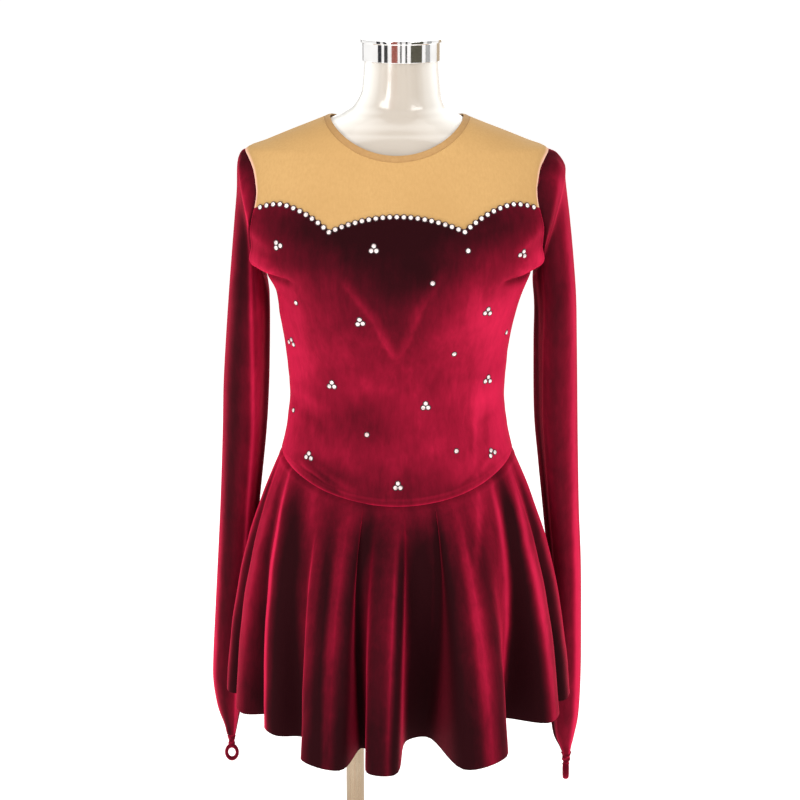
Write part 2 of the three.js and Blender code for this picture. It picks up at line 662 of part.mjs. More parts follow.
// Form: level rings, cut flat where the arms would be.
function formGeometry() {
  const heights = [];
  formRows.forEach(({ from, to, step }) => {
    for (let z = from; z < to; z += step) heights.push(z);
  });
  heights.push(formTop);
  const ring = (z) => steps(formSides - 1, (share) => {
    const covered = share01((bareNeck - z) / (bareNeck - coveredNeck));
    const inset = z > formBottom ? formInset * covered : 0;
    const point = clothPoint((share * (formSides - 1) * 2 * Math.PI) / formSides, z, -inset);
    point.x += neckLean * share01((z - neckRoot) / (neckStraight - neckRoot));
    if (z < underarm) return point;
    const limit = armPlateReach(z);
    point.x = Math.max(-limit, Math.min(limit, point.x));
    return point;
  });
  return loftGeometry(heights.map(ring));
}

// A solid turned about the Z axis from radius and height pairs.
function turned(profile, segments) {
  const lathe = new THREE.LatheGeometry(profile.map(([r, z]) => new THREE.Vector2(r, z)), segments);
  lathe.rotateX(Math.PI / 2);
  return geometryFrom(solidFrom(lathe));
}

function capGeometry() {
  const lipBottom = capTop - capLip;
  return turned([
    [0, capBottom],
    [capRadius, capBottom],
    [capRadius, lipBottom],
    [capLipRadius, lipBottom + capEdge / 2],
    [capLipRadius, capTop - capEdge],
    [capLipRadius - capEdge, capTop],
    [0, capTop],
  ], capSides);
}

function baseGeometry() {
  return turned([
    [0, 0],
    [baseRadius - baseEdge, 0],
    [baseRadius, baseEdge],
    [baseRadius, baseThickness - baseEdge],
    [baseRadius - baseEdge, baseThickness],
    [0, baseThickness],
  ], baseSides);
}

// A collar round the pole, open through its middle.
function collarGeometry(radius, height) {
  const bore = poleRadius + collarWall;
  return turned([
    [bore, 0],
    [radius, 0],
    [radius, height - collarEdge],
    [radius - collarEdge, height],
    [bore, height],
    [bore, 0],
  ], collarSides);
}

function poleGeometry() {
  const length = formBottom - seamGap - baseThickness - seamGap;
  const pole = new THREE.CylinderGeometry(poleRadius, poleRadius, length, poleSides);
  pole.rotateX(Math.PI / 2);
  pole.translate(0, 0, baseThickness + seamGap + length / 2);
  return pole;
}

// Materials.
function material(name, color, roughness, metalness) {
  return new THREE.MeshStandardMaterial({ name, color, roughness, metalness });
}

const velvet = material('velvet', 0x7a0f26, 0.75, 0);
const mesh = material('mesh', 0xdca862, 0.8, 0);
const binding = material('binding', 0xcf955a, 0.8, 0);
const gloss = material('gloss', 0xefe9df, 0.18, 0);
const chrome = material('chrome', 0xd8d8d8, 0.08, 1);
const steel = material('steel', 0xb8ab9a, 0.25, 1);

const object = new THREE.Group();

function add(name, geometry, finish, x = 0, y = 0, z = 0) {
  const piece = new THREE.Mesh(geometry, finish);
  piece.name = name;
  piece.position.set(x, y, z);
  object.add(piece);
}

add('yoke_front', yokePanel(true), mesh);
add('yoke_back', yokePanel(false), mesh);
add('neck_binding', neckBinding(), binding);
add('bodice_front', bodicePanel(true), velvet);
add('bodice_back', bodicePanel(false), velvet);
add('skirt', skirtGeometry(), velvet);
for (const side of ['left', 'right']) {
  add(`sleeve_${side}`, sleeveGeometry(side), velvet);
  add(`finger_loop_${side}`, fingerLoop(loops[side]), velvet);
}
add('form_torso', formGeometry(), gloss);
add('neck_cap', capGeometry(), chrome, neckLean);
const collarBottom = formBottom - seamGap - collarHeight;
add('pole', poleGeometry(), steel, poleOffset);
add('pole_collar', collarGeometry(collarRadius, collarHeight), steel, poleOffset, 0, collarBottom);
add('pole_foot', collarGeometry(footRadius, footHeight), steel, poleOffset, 0, baseThickness + seamGap);
add('base', baseGeometry(), steel);

export default object;
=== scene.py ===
import math

import bpy
import numpy as np
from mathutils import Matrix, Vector


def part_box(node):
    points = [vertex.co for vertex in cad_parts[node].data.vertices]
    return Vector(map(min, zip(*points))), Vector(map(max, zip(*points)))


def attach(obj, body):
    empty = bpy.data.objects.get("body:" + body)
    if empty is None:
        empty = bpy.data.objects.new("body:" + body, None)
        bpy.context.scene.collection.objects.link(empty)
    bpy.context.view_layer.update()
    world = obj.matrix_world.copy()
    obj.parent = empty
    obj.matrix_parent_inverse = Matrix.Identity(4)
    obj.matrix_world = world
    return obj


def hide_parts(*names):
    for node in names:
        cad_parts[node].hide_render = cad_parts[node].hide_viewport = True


# A long-sleeved velvet figure skating dress on a glossy limbless dress form with a steel stand.
# Metres, +Z up. The dress faces -Y, and +X is at the right of a person looking at its front.

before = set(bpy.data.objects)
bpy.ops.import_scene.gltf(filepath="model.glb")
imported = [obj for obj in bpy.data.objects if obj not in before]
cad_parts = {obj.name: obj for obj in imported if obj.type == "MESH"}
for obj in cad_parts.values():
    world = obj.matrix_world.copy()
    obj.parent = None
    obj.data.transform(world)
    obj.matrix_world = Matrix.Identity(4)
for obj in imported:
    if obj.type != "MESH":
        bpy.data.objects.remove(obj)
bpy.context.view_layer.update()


# Camera: a little above the top of the form and well in front of it, looking down with a long lens, so
# that the whole dress shows and the stand runs out of the frame.

CAMERA_PLACE = (0.0036, -2.2, 1.6)
CAMERA_TILT = math.radians(75)
CAMERA_LENS = 85.37

bpy.ops.object.camera_add(location=CAMERA_PLACE, rotation=(CAMERA_TILT, 0, 0))
bpy.context.object.data.lens = CAMERA_LENS
bpy.context.scene.camera = bpy.context.object


# Base: a round steel plate with an eased rim, 8 mm thick, which weighs the stand down. Its satin
# finish is brushed one way, so fine lines run across it.

BASE_RADIUS = 0.18
BASE_THICKNESS = 0.008
BASE_EDGE = 0.0025
PLATE_COLOURS = (0.37, 0.31, 0.24, 1), (0.44, 0.38, 0.30, 1)
PLATE_LINES = (14, 620, 14)


def start(name, add, **sizes):
    """A new piece from one of the add-primitive operators, alone in the selection."""
    bpy.ops.object.select_all(action="DESELECT")
    add(**sizes)
    piece = bpy.context.object
    piece.name = name
    piece.data.name = name
    return piece


def take(*pieces):
    """Selects only these pieces, with the first of them active."""
    bpy.ops.object.select_all(action="DESELECT")
    for piece in pieces:
        piece.select_set(True)
    bpy.context.view_layer.objects.active = pieces[0]


def settle(piece):
    """Puts the piece's place, turn and scale into its mesh."""
    take(piece)
    bpy.ops.object.transform_apply(location=True, rotation=True, scale=True)


def modify(piece, kind, **values):
    """Adds a modifier to the piece, with these values, and applies it."""
    take(piece)
    modifier = piece.modifiers.new(kind.lower(), kind)
    for key, value in values.items():
        setattr(modifier, key, value)
    bpy.ops.object.modifier_apply(modifier=modifier.name)


def smooth(piece, degrees=40):
    """Smooth shading, with edges sharper than this kept."""
    take(piece)
    bpy.ops.object.shade_smooth_by_angle(angle=math.radians(degrees))


def shader(name, **values):
    """A material with a Principled BSDF whose own sockets hold these values."""
    material = bpy.data.materials.new(name)
    material.use_nodes = True
    principled = material.node_tree.nodes["Principled BSDF"]
    for key, value in values.items():
        principled.inputs[key.replace("_", " ")].default_value = value
    return material, material.node_tree, principled


def node(tree, kind, inputs=None, **settings):
    """A node with these settings, whose inputs are values or other nodes' outputs."""
    made = tree.nodes.new(kind)
    for key, value in settings.items():
        setattr(made, key, value)
    for key, value in (inputs or {}).items():
        if isinstance(value, bpy.types.NodeSocket):
            tree.links.new(value, made.inputs[key])
        else:
            made.inputs[key].default_value = value
    return made


def object_point(tree, scale=(1, 1, 1), place=(0, 0, 0)):
    """Object coordinates, scaled and moved by a Mapping node."""
    where = node(tree, "ShaderNodeTexCoord").outputs["Object"]
    mapping = node(tree, "ShaderNodeMapping", {"Vector": where, "Scale": scale, "Location": place})
    return mapping.outputs["Vector"]


def colour_mix(tree, share, low, high):
    """A colour between low and high."""
    mixed = node(tree, "ShaderNodeMix", {"Factor": share, "A": low, "B": high}, data_type="RGBA")
    return mixed.outputs["Result"]


def range_of(tree, value, low, high, to_low=0.0, to_high=1.0):
    """A value moved from one range to another, and kept in it."""
    numbers = {"Value": value, "From Min": low, "From Max": high, "To Min": to_low, "To Max": to_high}
    return node(tree, "ShaderNodeMapRange", numbers).outputs["Result"]


def bump(tree, principled, height, strength, distance):
    """A Bump node that feeds the shader's normal."""
    made = node(tree, "ShaderNodeBump", {"Height": height, "Strength": strength, "Distance": distance})
    tree.links.new(made.outputs["Normal"], principled.inputs["Normal"])


def finish_piece(piece, material, slot, *nodes):
    """Gives the piece its material and body, and hides the CAD nodes that it stands for; slot is not used.
    """
    piece.data.materials.clear()
    piece.data.materials.append(material)
    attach(piece, "root")
    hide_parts(*nodes)


def new_group(name, inputs, outputs):
    """A shader node group with these named sockets, and the outputs of its Group Input."""
    group = bpy.data.node_groups.new(name, "ShaderNodeTree")
    for socket, kind in inputs.items():
        group.interface.new_socket(socket, in_out="INPUT", socket_type=f"NodeSocket{kind}")
    for socket in outputs:
        group.interface.new_socket(socket, in_out="OUTPUT", socket_type="NodeSocketFloat")
    return group, node(group, "NodeGroupInput").outputs


def grain_group():
    """A node group for a fine grain: its lines, and a shade that comes and goes in slow clouds."""
    group, given = new_group("grain", {"Lines": "Vector", "Clouds": "Float"}, ("Lines", "Shade"))
    where = node(group, "ShaderNodeTexCoord").outputs["Object"]
    spread = node(group, "ShaderNodeVectorMath", {0: where, 1: given["Lines"]}, operation="MULTIPLY")
    lines = node(group, "ShaderNodeTexNoise", {"Vector": spread.outputs[0], "Scale": 1.0, "Detail": 3.0})
    clouds = node(group, "ShaderNodeTexNoise", {"Vector": where, "Scale": given["Clouds"], "Detail": 2.0})
    pair = {0: lines.outputs["Fac"], 1: clouds.outputs["Fac"]}
    shade = node(group, "ShaderNodeMath", pair, operation="MULTIPLY")
    node(group, "NodeGroupOutput", {"Lines": lines.outputs["Fac"], "Shade": shade.outputs[0]})
    return group


grain = grain_group()


def steel_material(name, lines, colours):
    """Satin steel of two close colours; lines is how closely its drawn lines lie along X, Y and Z."""
    material, tree, principled = shader(name, Metallic=1.0, Roughness=0.28)
    drawn = node(tree, "ShaderNodeGroup", {"Lines": lines, "Clouds": 14.0}, node_tree=grain).outputs
    colour = colour_mix(tree, range_of(tree, drawn["Shade"], 0.1, 0.45), *colours)
    tree.links.new(colour, principled.inputs["Base Color"])
    tree.links.new(range_of(tree, drawn["Lines"], 0.3, 0.7, 0.2, 0.38), principled.inputs["Roughness"])
    bump(tree, principled, drawn["Lines"], 0.12, 0.0002)
    return material


base = start("base_plate", bpy.ops.mesh.primitive_cylinder_add, vertices=128, radius=BASE_RADIUS,
             depth=BASE_THICKNESS, location=(0, 0, BASE_THICKNESS / 2))
settle(base)
modify(base, "BEVEL", width=BASE_EDGE, segments=4, limit_method="ANGLE")
smooth(base, 30)
finish_piece(base, steel_material("brushed_steel", PLATE_LINES, PLATE_COLOURS), "stand", "base")


# Pole: a steel tube off the form's middle, from the base up into the torso. A foot holds it on the
# plate and a collar under the torso stops it; both are turned rings that it runs through.

POLE_X = -0.053
POLE_RADIUS = 0.0114
POLE_EDGE = 0.0006
FOOT_RADIUS = 0.027
COLLAR_RADIUS = 0.019
RING_CLEARANCE = 0.0004
RING_EDGE = 0.003
TUBE_SIDES = 64
TUBE_COLOURS = (0.29, 0.21, 0.14, 1), (0.40, 0.32, 0.23, 1)
TUBE_LINES = (900, 900, 18)


def upright(name, cad_node, radius, ends):
    """A cylinder on the pole's axis, from the foot to the top of the CAD node that it stands for."""
    low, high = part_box(cad_node)
    piece = start(name, bpy.ops.mesh.primitive_cylinder_add, vertices=TUBE_SIDES, radius=radius,
                  depth=high.z - low.z, location=(POLE_X, 0, (high.z + low.z) / 2), end_fill_type=ends)
    settle(piece)
    return piece


pole = upright("stand_pole", "pole", POLE_RADIUS, "NGON")
modify(pole, "BEVEL", width=POLE_EDGE, segments=2, limit_method="ANGLE")
smooth(pole)
drawn_steel = steel_material("drawn_steel", TUBE_LINES, TUBE_COLOURS)
finish_piece(pole, drawn_steel, "stand", "pole")

for name, cad_node, radius in (("stand_foot", "pole_foot", FOOT_RADIUS),
                               ("stand_collar", "pole_collar", COLLAR_RADIUS)):
    ring = upright(name, cad_node, radius, "NOTHING")
    ring_wall = radius - POLE_RADIUS - RING_CLEARANCE
    modify(ring, "SOLIDIFY", thickness=ring_wall, offset=-1, use_even_offset=True)
    modify(ring, "BEVEL", width=RING_EDGE, segments=3, limit_method="ANGLE")
    smooth(ring)
    finish_piece(ring, drawn_steel, "stand", cad_node)


# Form: the torso of a display form without limbs, moulded smooth and sprayed glossy warm white. Flat
# plates close it at the armholes, and it stands a few millimetres clear inside the dress.

# The figure at each height: half its width, its reach to the front and to the back, and the power of
# its section, which is an oval at 2 and squarer above that.
FIGURE_COLUMNS = ("z", "half", "front", "back", "power")
FIGURE = [
    (0.756, 0.092, 0.066, 0.072, 2.0),
    (0.759, 0.108, 0.078, 0.084, 2.1),
    (0.772, 0.126, 0.090, 0.098, 2.1),
    (0.795, 0.144, 0.100, 0.109, 2.2),
    (0.830, 0.156, 0.106, 0.116, 2.3),
    (0.870, 0.157, 0.106, 0.117, 2.3),
    (0.910, 0.149, 0.102, 0.112, 2.3),
    (0.950, 0.136, 0.096, 0.104, 2.3),
    (0.985, 0.128, 0.090, 0.097, 2.3),
    (1.023, 0.1245, 0.086, 0.092, 2.3),
    (1.060, 0.1265, 0.091, 0.093, 2.3),
    (1.095, 0.131, 0.103, 0.096, 2.3),
    (1.130, 0.139, 0.116, 0.099, 2.3),
    (1.169, 0.154, 0.121, 0.102, 2.3),
    (1.200, 0.172, 0.116, 0.104, 2.3),
    (1.240, 0.184, 0.101, 0.104, 2.3),
    (1.275, 0.184, 0.086, 0.096, 2.2),
    (1.300, 0.178, 0.076, 0.082, 2.1),
    (1.311, 0.174, 0.071, 0.074, 2.0),
    (1.320, 0.152, 0.068, 0.069, 2.0),
    (1.330, 0.127, 0.064, 0.064, 2.0),
    (1.340, 0.101, 0.058, 0.058, 2.0),
    (1.348, 0.081, 0.052, 0.053, 2.0),
    (1.355, 0.063, 0.048, 0.049, 2.0),
    (1.364, 0.051, 0.045, 0.046, 2.0),
    (1.380, 0.045, 0.043, 0.043, 2.0),
    (1.413, 0.042, 0.042, 0.042, 2.0),
]
FIGURE_STEP = 0.0005
TURN_STEP = 0.01
RISE_STEP = 0.001
FORM_BOTTOM = 0.756
FORM_TOP = 1.413
# Rings of the form: from and to which height, and how many. They lie closer where it curves more.
FORM_RINGS = [
    (FORM_BOTTOM, 0.80, 24),
    (0.806, 1.30, 90),
    (1.302, FORM_TOP, 70),
]
FORM_STEPS = 160
SHOULDER_TIP = 1.311
UNDERARM = 1.174
ARMHOLE_DEPTH = 0.054
FORM_INSET = 0.0029
COVERED_NECK = 1.336
BARE_NECK = 1.356
ARM_PLATE_INSET = 0.003
LEFT_DRAW = 0.0065
LEFT_DRAW_HEIGHT = 1.152
LEFT_DRAW_HALF = 0.026
NECK_LEAN = 0.005
NECK_ROOT = 1.34
NECK_STRAIGHT = 1.38
FORM_COLOUR = (0.43, 0.38, 0.325, 1)
FORM_SHADE = (0.38, 0.33, 0.275, 1)
FORM_EDGE_HIGHLIGHT = (0.92, 0.90, 0.85, 1)
WELD_REACH = 0.00002


def smooth_column(index):
    """One column of the figure's table at every FIGURE_STEP, with no overshoot between rows."""
    z = np.array([row[0] for row in FIGURE])
    value = np.array([row[index] for row in FIGURE])
    gradient = np.diff(value) / np.diff(z)
    before, after = gradient[:-1], gradient[1:]
    joined = before + after
    inner = np.where(before * after > 0, 2 * before * after / np.where(joined == 0, 1, joined), 0)
    slope = np.concatenate(([gradient[0]], inner, [gradient[-1]]))
    fine = np.linspace(z[0], z[-1], round((z[-1] - z[0]) / FIGURE_STEP) + 1)
    row = np.clip(np.searchsorted(z, fine, side="right") - 1, 0, len(z) - 2)
    span = z[row + 1] - z[row]
    t = (fine - z[row]) / span
    low = value[row] * (1 + 2 * t) * (1 - t) ** 2 + span * slope[row] * t * (1 - t) ** 2
    high = value[row + 1] * t * t * (3 - 2 * t) + span * slope[row + 1] * t * t * (t - 1)
    return fine, low + high


figure_columns = {name: smooth_column(k) for k, name in enumerate(FIGURE_COLUMNS) if k}


def figure_value(column, z):
    """A value from the figure's table at height z."""
    return np.interp(z, *figure_columns[column])


def share01(value):
    """The value, kept between 0 and 1."""
    return np.clip(value, 0, 1)


def hill(off, half):
    """A soft hill: 1 in its middle and almost 0 at twice its half width."""
    return np.exp(-(off / half) ** 2)


def left_draw(z):
    """How far the dress is drawn in under the left arm, where the form turns a little away."""
    return LEFT_DRAW * hill(z - LEFT_DRAW_HEIGHT, LEFT_DRAW_HALF)


def figure_point(turn, z):
    """Points of the figure. turn is 0 at +X, a quarter circle at the front and a half at -X."""
    power = 2 / figure_value("power", z)
    depth = np.where(np.sin(turn) >= 0, figure_value("front", z), figure_value("back", z))
    across = np.sign(np.cos(turn)) * np.abs(np.cos(turn)) ** power
    along = np.sign(np.sin(turn)) * np.abs(np.sin(turn)) ** power
    half = figure_value("half", z) - np.where(across < 0, left_draw(z), 0)
    return np.stack([half * across, -depth * along, z + 0 * turn], axis=-1)


def cloth_point(turn, z, out):
    """The same points moved out square to the figure's surface."""
    across = figure_point(turn + TURN_STEP, z) - figure_point(turn - TURN_STEP, z)
    up = figure_point(turn, z + RISE_STEP) - figure_point(turn, z - RISE_STEP)
    square = np.cross(up, across)
    square /= np.linalg.norm(square, axis=-1, keepdims=True)
    return figure_point(turn, z) + square * np.asarray(out)[..., None]


def armhole_place(angle, grow):
    """Turn and height on the right armhole's seam; angle is 0 at the shoulder tip, half at the underarm."""
    z = (SHOULDER_TIP + UNDERARM) / 2 + ((SHOULDER_TIP - UNDERARM) / 2 + grow) * np.cos(angle)
    is_front = np.sin(angle) >= 0
    depth = np.where(is_front, figure_value("front", z), figure_value("back", z))
    share = np.minimum(1, (ARMHOLE_DEPTH + grow) * np.abs(np.sin(angle)) / depth)
    turn = np.arcsin(share ** (figure_value("power", z) / 2))
    return np.where(is_front, turn, -turn), z


def edit(piece, operator, **values):
    """Runs an edit-mode operator, with these values, on the whole piece."""
    take(piece)
    bpy.ops.object.mode_set(mode="EDIT")
    bpy.ops.mesh.select_all(action="SELECT")
    operator(**values)
    bpy.ops.object.mode_set(mode="OBJECT")


def weld(piece):
    """Joins the vertices that lie on one another, where a sheet meets itself."""
    edit(piece, bpy.ops.mesh.remove_doubles, threshold=WELD_REACH)


def grid_piece(name, points):
    """A sheet through a grid of points, rows by columns, modelled from a grid primitive."""
    rows, columns = points.shape[0] - 1, points.shape[1] - 1
    piece = start(name, bpy.ops.mesh.primitive_grid_add, x_subdivisions=columns, y_subdivisions=rows, size=2)
    flat = np.zeros(len(piece.data.vertices) * 3)
    piece.data.vertices.foreach_get("co", flat)
    flat = flat.reshape(-1, 3)
    column = np.rint((flat[:, 0] + 1) / 2 * columns).astype(int)
    row = np.rint((flat[:, 1] + 1) / 2 * rows).astype(int)
    piece.data.vertices.foreach_set("co", points[row, column].ravel())
    piece.data.update()
    return piece, row, column


form_heights = np.concatenate([np.linspace(*rings) for rings in FORM_RINGS])
form_turns = np.linspace(0, 2 * math.pi, FORM_STEPS + 1)
height, turn = np.meshgrid(form_heights, form_turns, indexing="ij")
covered = share01((BARE_NECK - height) / (BARE_NECK - COVERED_NECK))
form_points = cloth_point(turn, height, np.where(height > FORM_BOTTOM, -FORM_INSET * covered, 0))
form_points[..., 0] += NECK_LEAN * share01((height - NECK_ROOT) / (NECK_STRAIGHT - NECK_ROOT))
arm_middle = (SHOULDER_TIP + UNDERARM) / 2
arm_share = np.clip((height - arm_middle) / (SHOULDER_TIP - arm_middle), -1, 1)
plate_turn, _ = armhole_place(np.arccos(arm_share), 0)
plate_reach = figure_point(plate_turn, np.minimum(height, SHOULDER_TIP))[..., 0] - ARM_PLATE_INSET
limit = np.where(height < UNDERARM, 1.0, plate_reach)
form_points[..., 0] = np.clip(form_points[..., 0], -limit, limit)

form, _, _ = grid_piece("form_body", form_points)
weld(form)
edit(form, bpy.ops.mesh.fill_holes, sides=0)
edit(form, bpy.ops.mesh.normals_make_consistent, inside=False)
smooth(form, 50)

material, tree, principled = shader("gloss_white", Roughness=0.2, Coat_Weight=0.6, Coat_Roughness=0.06)
cloudy = node(tree, "ShaderNodeTexNoise", {"Vector": object_point(tree), "Scale": 7.0, "Detail": 3.0})
speck = node(tree, "ShaderNodeTexNoise", {"Vector": object_point(tree), "Scale": 260.0, "Detail": 2.0})
sprayed = colour_mix(tree, range_of(tree, cloudy.outputs["Fac"], 0.35, 0.7), FORM_COLOUR, FORM_SHADE)
# A painted highlight: the colour turns pale towards the edges, where the surface turns away from the camera.
turned_away = node(tree, "ShaderNodeLayerWeight", {"Blend": 0.5}).outputs["Facing"]
edge_highlighted = colour_mix(tree, range_of(tree, turned_away, 0.08, 0.55), sprayed, FORM_EDGE_HIGHLIGHT)
tree.links.new(edge_highlighted, principled.inputs["Base Color"])
tree.links.new(range_of(tree, speck.outputs["Fac"], 0.3, 0.7, 0.16, 0.26), principled.inputs["Roughness"])
bump(tree, principled, speck.outputs["Fac"], 0.05, 0.0003)
finish_piece(form, material, "form", "form_torso")


# Neck cap: a turned disc of chromed metal pressed into the top of the neck, with a thin lip that
# stands over its straight band.

CAP_RADIUS = 0.0445
CAP_LIP_RADIUS = 0.0465
CAP_LIP = 0.004
CAP_RIM = 0.003
CAP_DISH = 0.0008
CAP_EDGE = 0.0007
CAP_SIDES = 128
CHROME = (0.86, 0.86, 0.87, 1)
CHROME_CLEAR = (0.9, 0.9, 0.9, 1)
CHROME_HAZY = (0.8, 0.79, 0.78, 1)


def open_top(piece):
    """Leaves the piece in edit mode with only the faces that look up selected."""
    take(piece)
    bpy.ops.object.mode_set(mode="EDIT")
    bpy.ops.mesh.select_mode(type="FACE")
    bpy.ops.mesh.select_all(action="DESELECT")
    bpy.ops.object.mode_set(mode="OBJECT")
    for face in piece.data.polygons:
        face.select = face.normal.z > 0.9
    bpy.ops.object.mode_set(mode="EDIT")


def raise_top(rise):
    """Extrudes the selected top straight up."""
    bpy.ops.mesh.extrude_region_move(TRANSFORM_OT_translate={"value": (0, 0, rise)})


cap_low, cap_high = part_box("neck_cap")
band_top = cap_high.z - CAP_LIP
cap = start("chrome_cap", bpy.ops.mesh.primitive_cylinder_add, vertices=CAP_SIDES, radius=CAP_RADIUS,
            depth=band_top - cap_low.z, location=(NECK_LEAN, 0, (band_top + cap_low.z) / 2))
settle(cap)
lip_scale = CAP_LIP_RADIUS / CAP_RADIUS
open_top(cap)
raise_top(0)
bpy.ops.transform.resize(value=(lip_scale, lip_scale, 1), center_override=(NECK_LEAN, 0, cap_high.z))
raise_top(CAP_LIP)
bpy.ops.mesh.inset(thickness=CAP_RIM, depth=-CAP_DISH)
bpy.ops.object.mode_set(mode="OBJECT")
modify(cap, "BEVEL", width=CAP_EDGE, segments=3, limit_method="ANGLE")
smooth(cap, 35)

material, tree, principled = shader("chrome", Metallic=1.0, Roughness=0.06, Base_Color=CHROME)
clouds = node(tree, "ShaderNodeTexNoise", {"Vector": object_point(tree), "Scale": 55.0, "Detail": 4.0})
haze = clouds.outputs["Fac"]
tree.links.new(range_of(tree, haze, 0.35, 0.75, 0.04, 0.12), principled.inputs["Roughness"])
hazed = colour_mix(tree, range_of(tree, haze, 0.4, 0.8), CHROME_CLEAR, CHROME_HAZY)
tree.links.new(hazed, principled.inputs["Base Color"])
finish_piece(cap, material, "cap", "neck_cap")


# Bodice: a front and a back panel of stretch velvet, cut close and pressed outwards by the bust. The
# front's top edge is a sweetheart of three lobes. Light and shade are painted into its colour, from
# almost black to a clear red.

EASE = 0.0008
WALL = 0.0014
CLOTH_THICKNESS = 0.0011
SEAM_GAP = 0.0003
CORNER_HEIGHT = 1.2513
CUSP_REACH = 0.075
CUSP_HEIGHT = 1.233
MIDDLE_LOBE_HEIGHT = 1.2495
SIDE_LOBE_REACH = 0.132
SIDE_LOBE_HEIGHT = 1.2598
SIDE_LOBE_CURVE = 1.7
BACK_EDGE_DIP = 0.024
SKIRT_SEAM_SIDE = 0.951
SKIRT_SEAM_DROP = {"front": 0.041, "back": 0.026}
SKIRT_SEAM_CURVE = 1.7
SEAM_TURN = 0.0006
CREST_LIGHT = 50
CREST_LIMIT = 0.003
SIDE_LIGHT = 0.10
SIDE_LIGHT_START = 0.085
SIDE_LIGHT_WIDTH = 0.040
SIDE_LIGHT_TOP = 1.19
SIDE_LIGHT_FADE = 0.05
SEAM_HIGHLIGHT = 0.30
SEAM_HIGHLIGHT_WIDTH = 0.0013
SECOND_HIGHLIGHT = 0.16
SECOND_HIGHLIGHT_PLACE = 0.0062
SEAM_SINK = 0.0013
SEAM_DIP_WIDTH = 0.0022
ALLOWANCE_RISE = 0.0007
ALLOWANCE_PLACE = 0.0050
ALLOWANCE_WIDTH = 0.0022
BODICE_ROWS = 130
BODICE_SHARES = np.linspace(0, 1, BODICE_ROWS + 1) ** 1.3
BODICE_LENGTH = 0.30
BODICE_WIDTH = 0.40
FOOT_EVENNESS = 0.6
CREASE_FLAT = 0.32
CREASE_FADE = 0.16
CLOTH_SWELL = 0.0005
CLOTH_RIPPLE = 0.0002
VELVET_TONE = 0.5
PILE_DRIFT = 0.035
ARMHOLE_COLUMNS = 24
LOBE_COLUMNS = 34
VELVET_BLACK = (0.008, 0.0012, 0.0018, 1)
VELVET_DEEP = (0.050, 0.0018, 0.0060, 1)
VELVET_RED = (0.23, 0.0035, 0.0190, 1)
VELVET_BRIGHT = (0.66, 0.0160, 0.0700, 1)

# Soft ridges (and troughs, where height is below 0) on the front: x and z of both ends, width, height.
FRONT_CREASES = [
    (-0.060, 1.182, -0.024, 1.138, 0.0048, 0.0022),
    (-0.028, 1.145, -0.001, 1.089, 0.0046, 0.0024),
    (0.052, 1.192, 0.022, 1.146, 0.0046, 0.0019),
    (0.025, 1.152, 0.002, 1.089, 0.0046, 0.0024),
    (-0.184, 1.196, -0.136, 1.186, 0.0085, 0.0065),
    (-0.168, 1.176, -0.118, 1.172, 0.0038, -0.0038),
    (0.184, 1.196, 0.136, 1.186, 0.0085, 0.0060),
    (0.168, 1.176, 0.120, 1.171, 0.0038, -0.0038),
    (0.166, 1.232, 0.132, 1.204, 0.0060, 0.0022),
    (-0.166, 1.226, -0.136, 1.206, 0.0060, 0.0014),
    (-0.112, 0.953, -0.076, 0.931, 0.0034, 0.0020),
    (-0.104, 0.945, -0.062, 0.921, 0.0032, -0.0018),
    (-0.092, 0.952, -0.046, 0.926, 0.0038, 0.0014),
    (0.110, 0.960, 0.086, 0.938, 0.0038, 0.0014),
    (0.098, 0.949, 0.072, 0.929, 0.0036, -0.0012),
    (-0.124, 1.036, -0.070, 1.020, 0.0080, 0.0010),
    (-0.122, 1.016, -0.082, 1.000, 0.0070, -0.0009),
    (0.124, 1.040, 0.078, 1.024, 0.0080, 0.0010),
    (0.120, 1.012, 0.086, 0.998, 0.0070, -0.0009),
    (-0.060, 1.062, 0.010, 1.048, 0.0090, 0.0006),
    (0.030, 0.975, 0.084, 0.990, 0.0100, 0.0006),
    (0.092, 1.060, 0.090, 0.985, 0.0060, 0.0009),
    (0.134, 1.244, 0.060, 1.226, 0.0060, 0.0011),
]
BACK_CREASES = [
    (-0.124, 1.046, -0.040, 1.020, 0.0080, 0.0022),
    (0.122, 1.050, 0.030, 1.026, 0.0080, 0.0020),
    (-0.122, 1.020, -0.052, 1.002, 0.0070, -0.0016),
    (0.120, 1.024, 0.060, 0.998, 0.0070, -0.0016),
    (-0.118, 0.994, -0.050, 0.984, 0.0080, 0.0018),
    (0.118, 0.990, 0.044, 0.978, 0.0090, 0.0018),
    (-0.146, 1.168, -0.100, 1.180, 0.0060, 0.0016),
    (0.146, 1.168, 0.104, 1.184, 0.0060, 0.0016),
    (-0.050, 1.090, -0.010, 1.200, 0.0110, 0.0012),
    (0.046, 1.080, 0.014, 1.190, 0.0110, 0.0010),
]
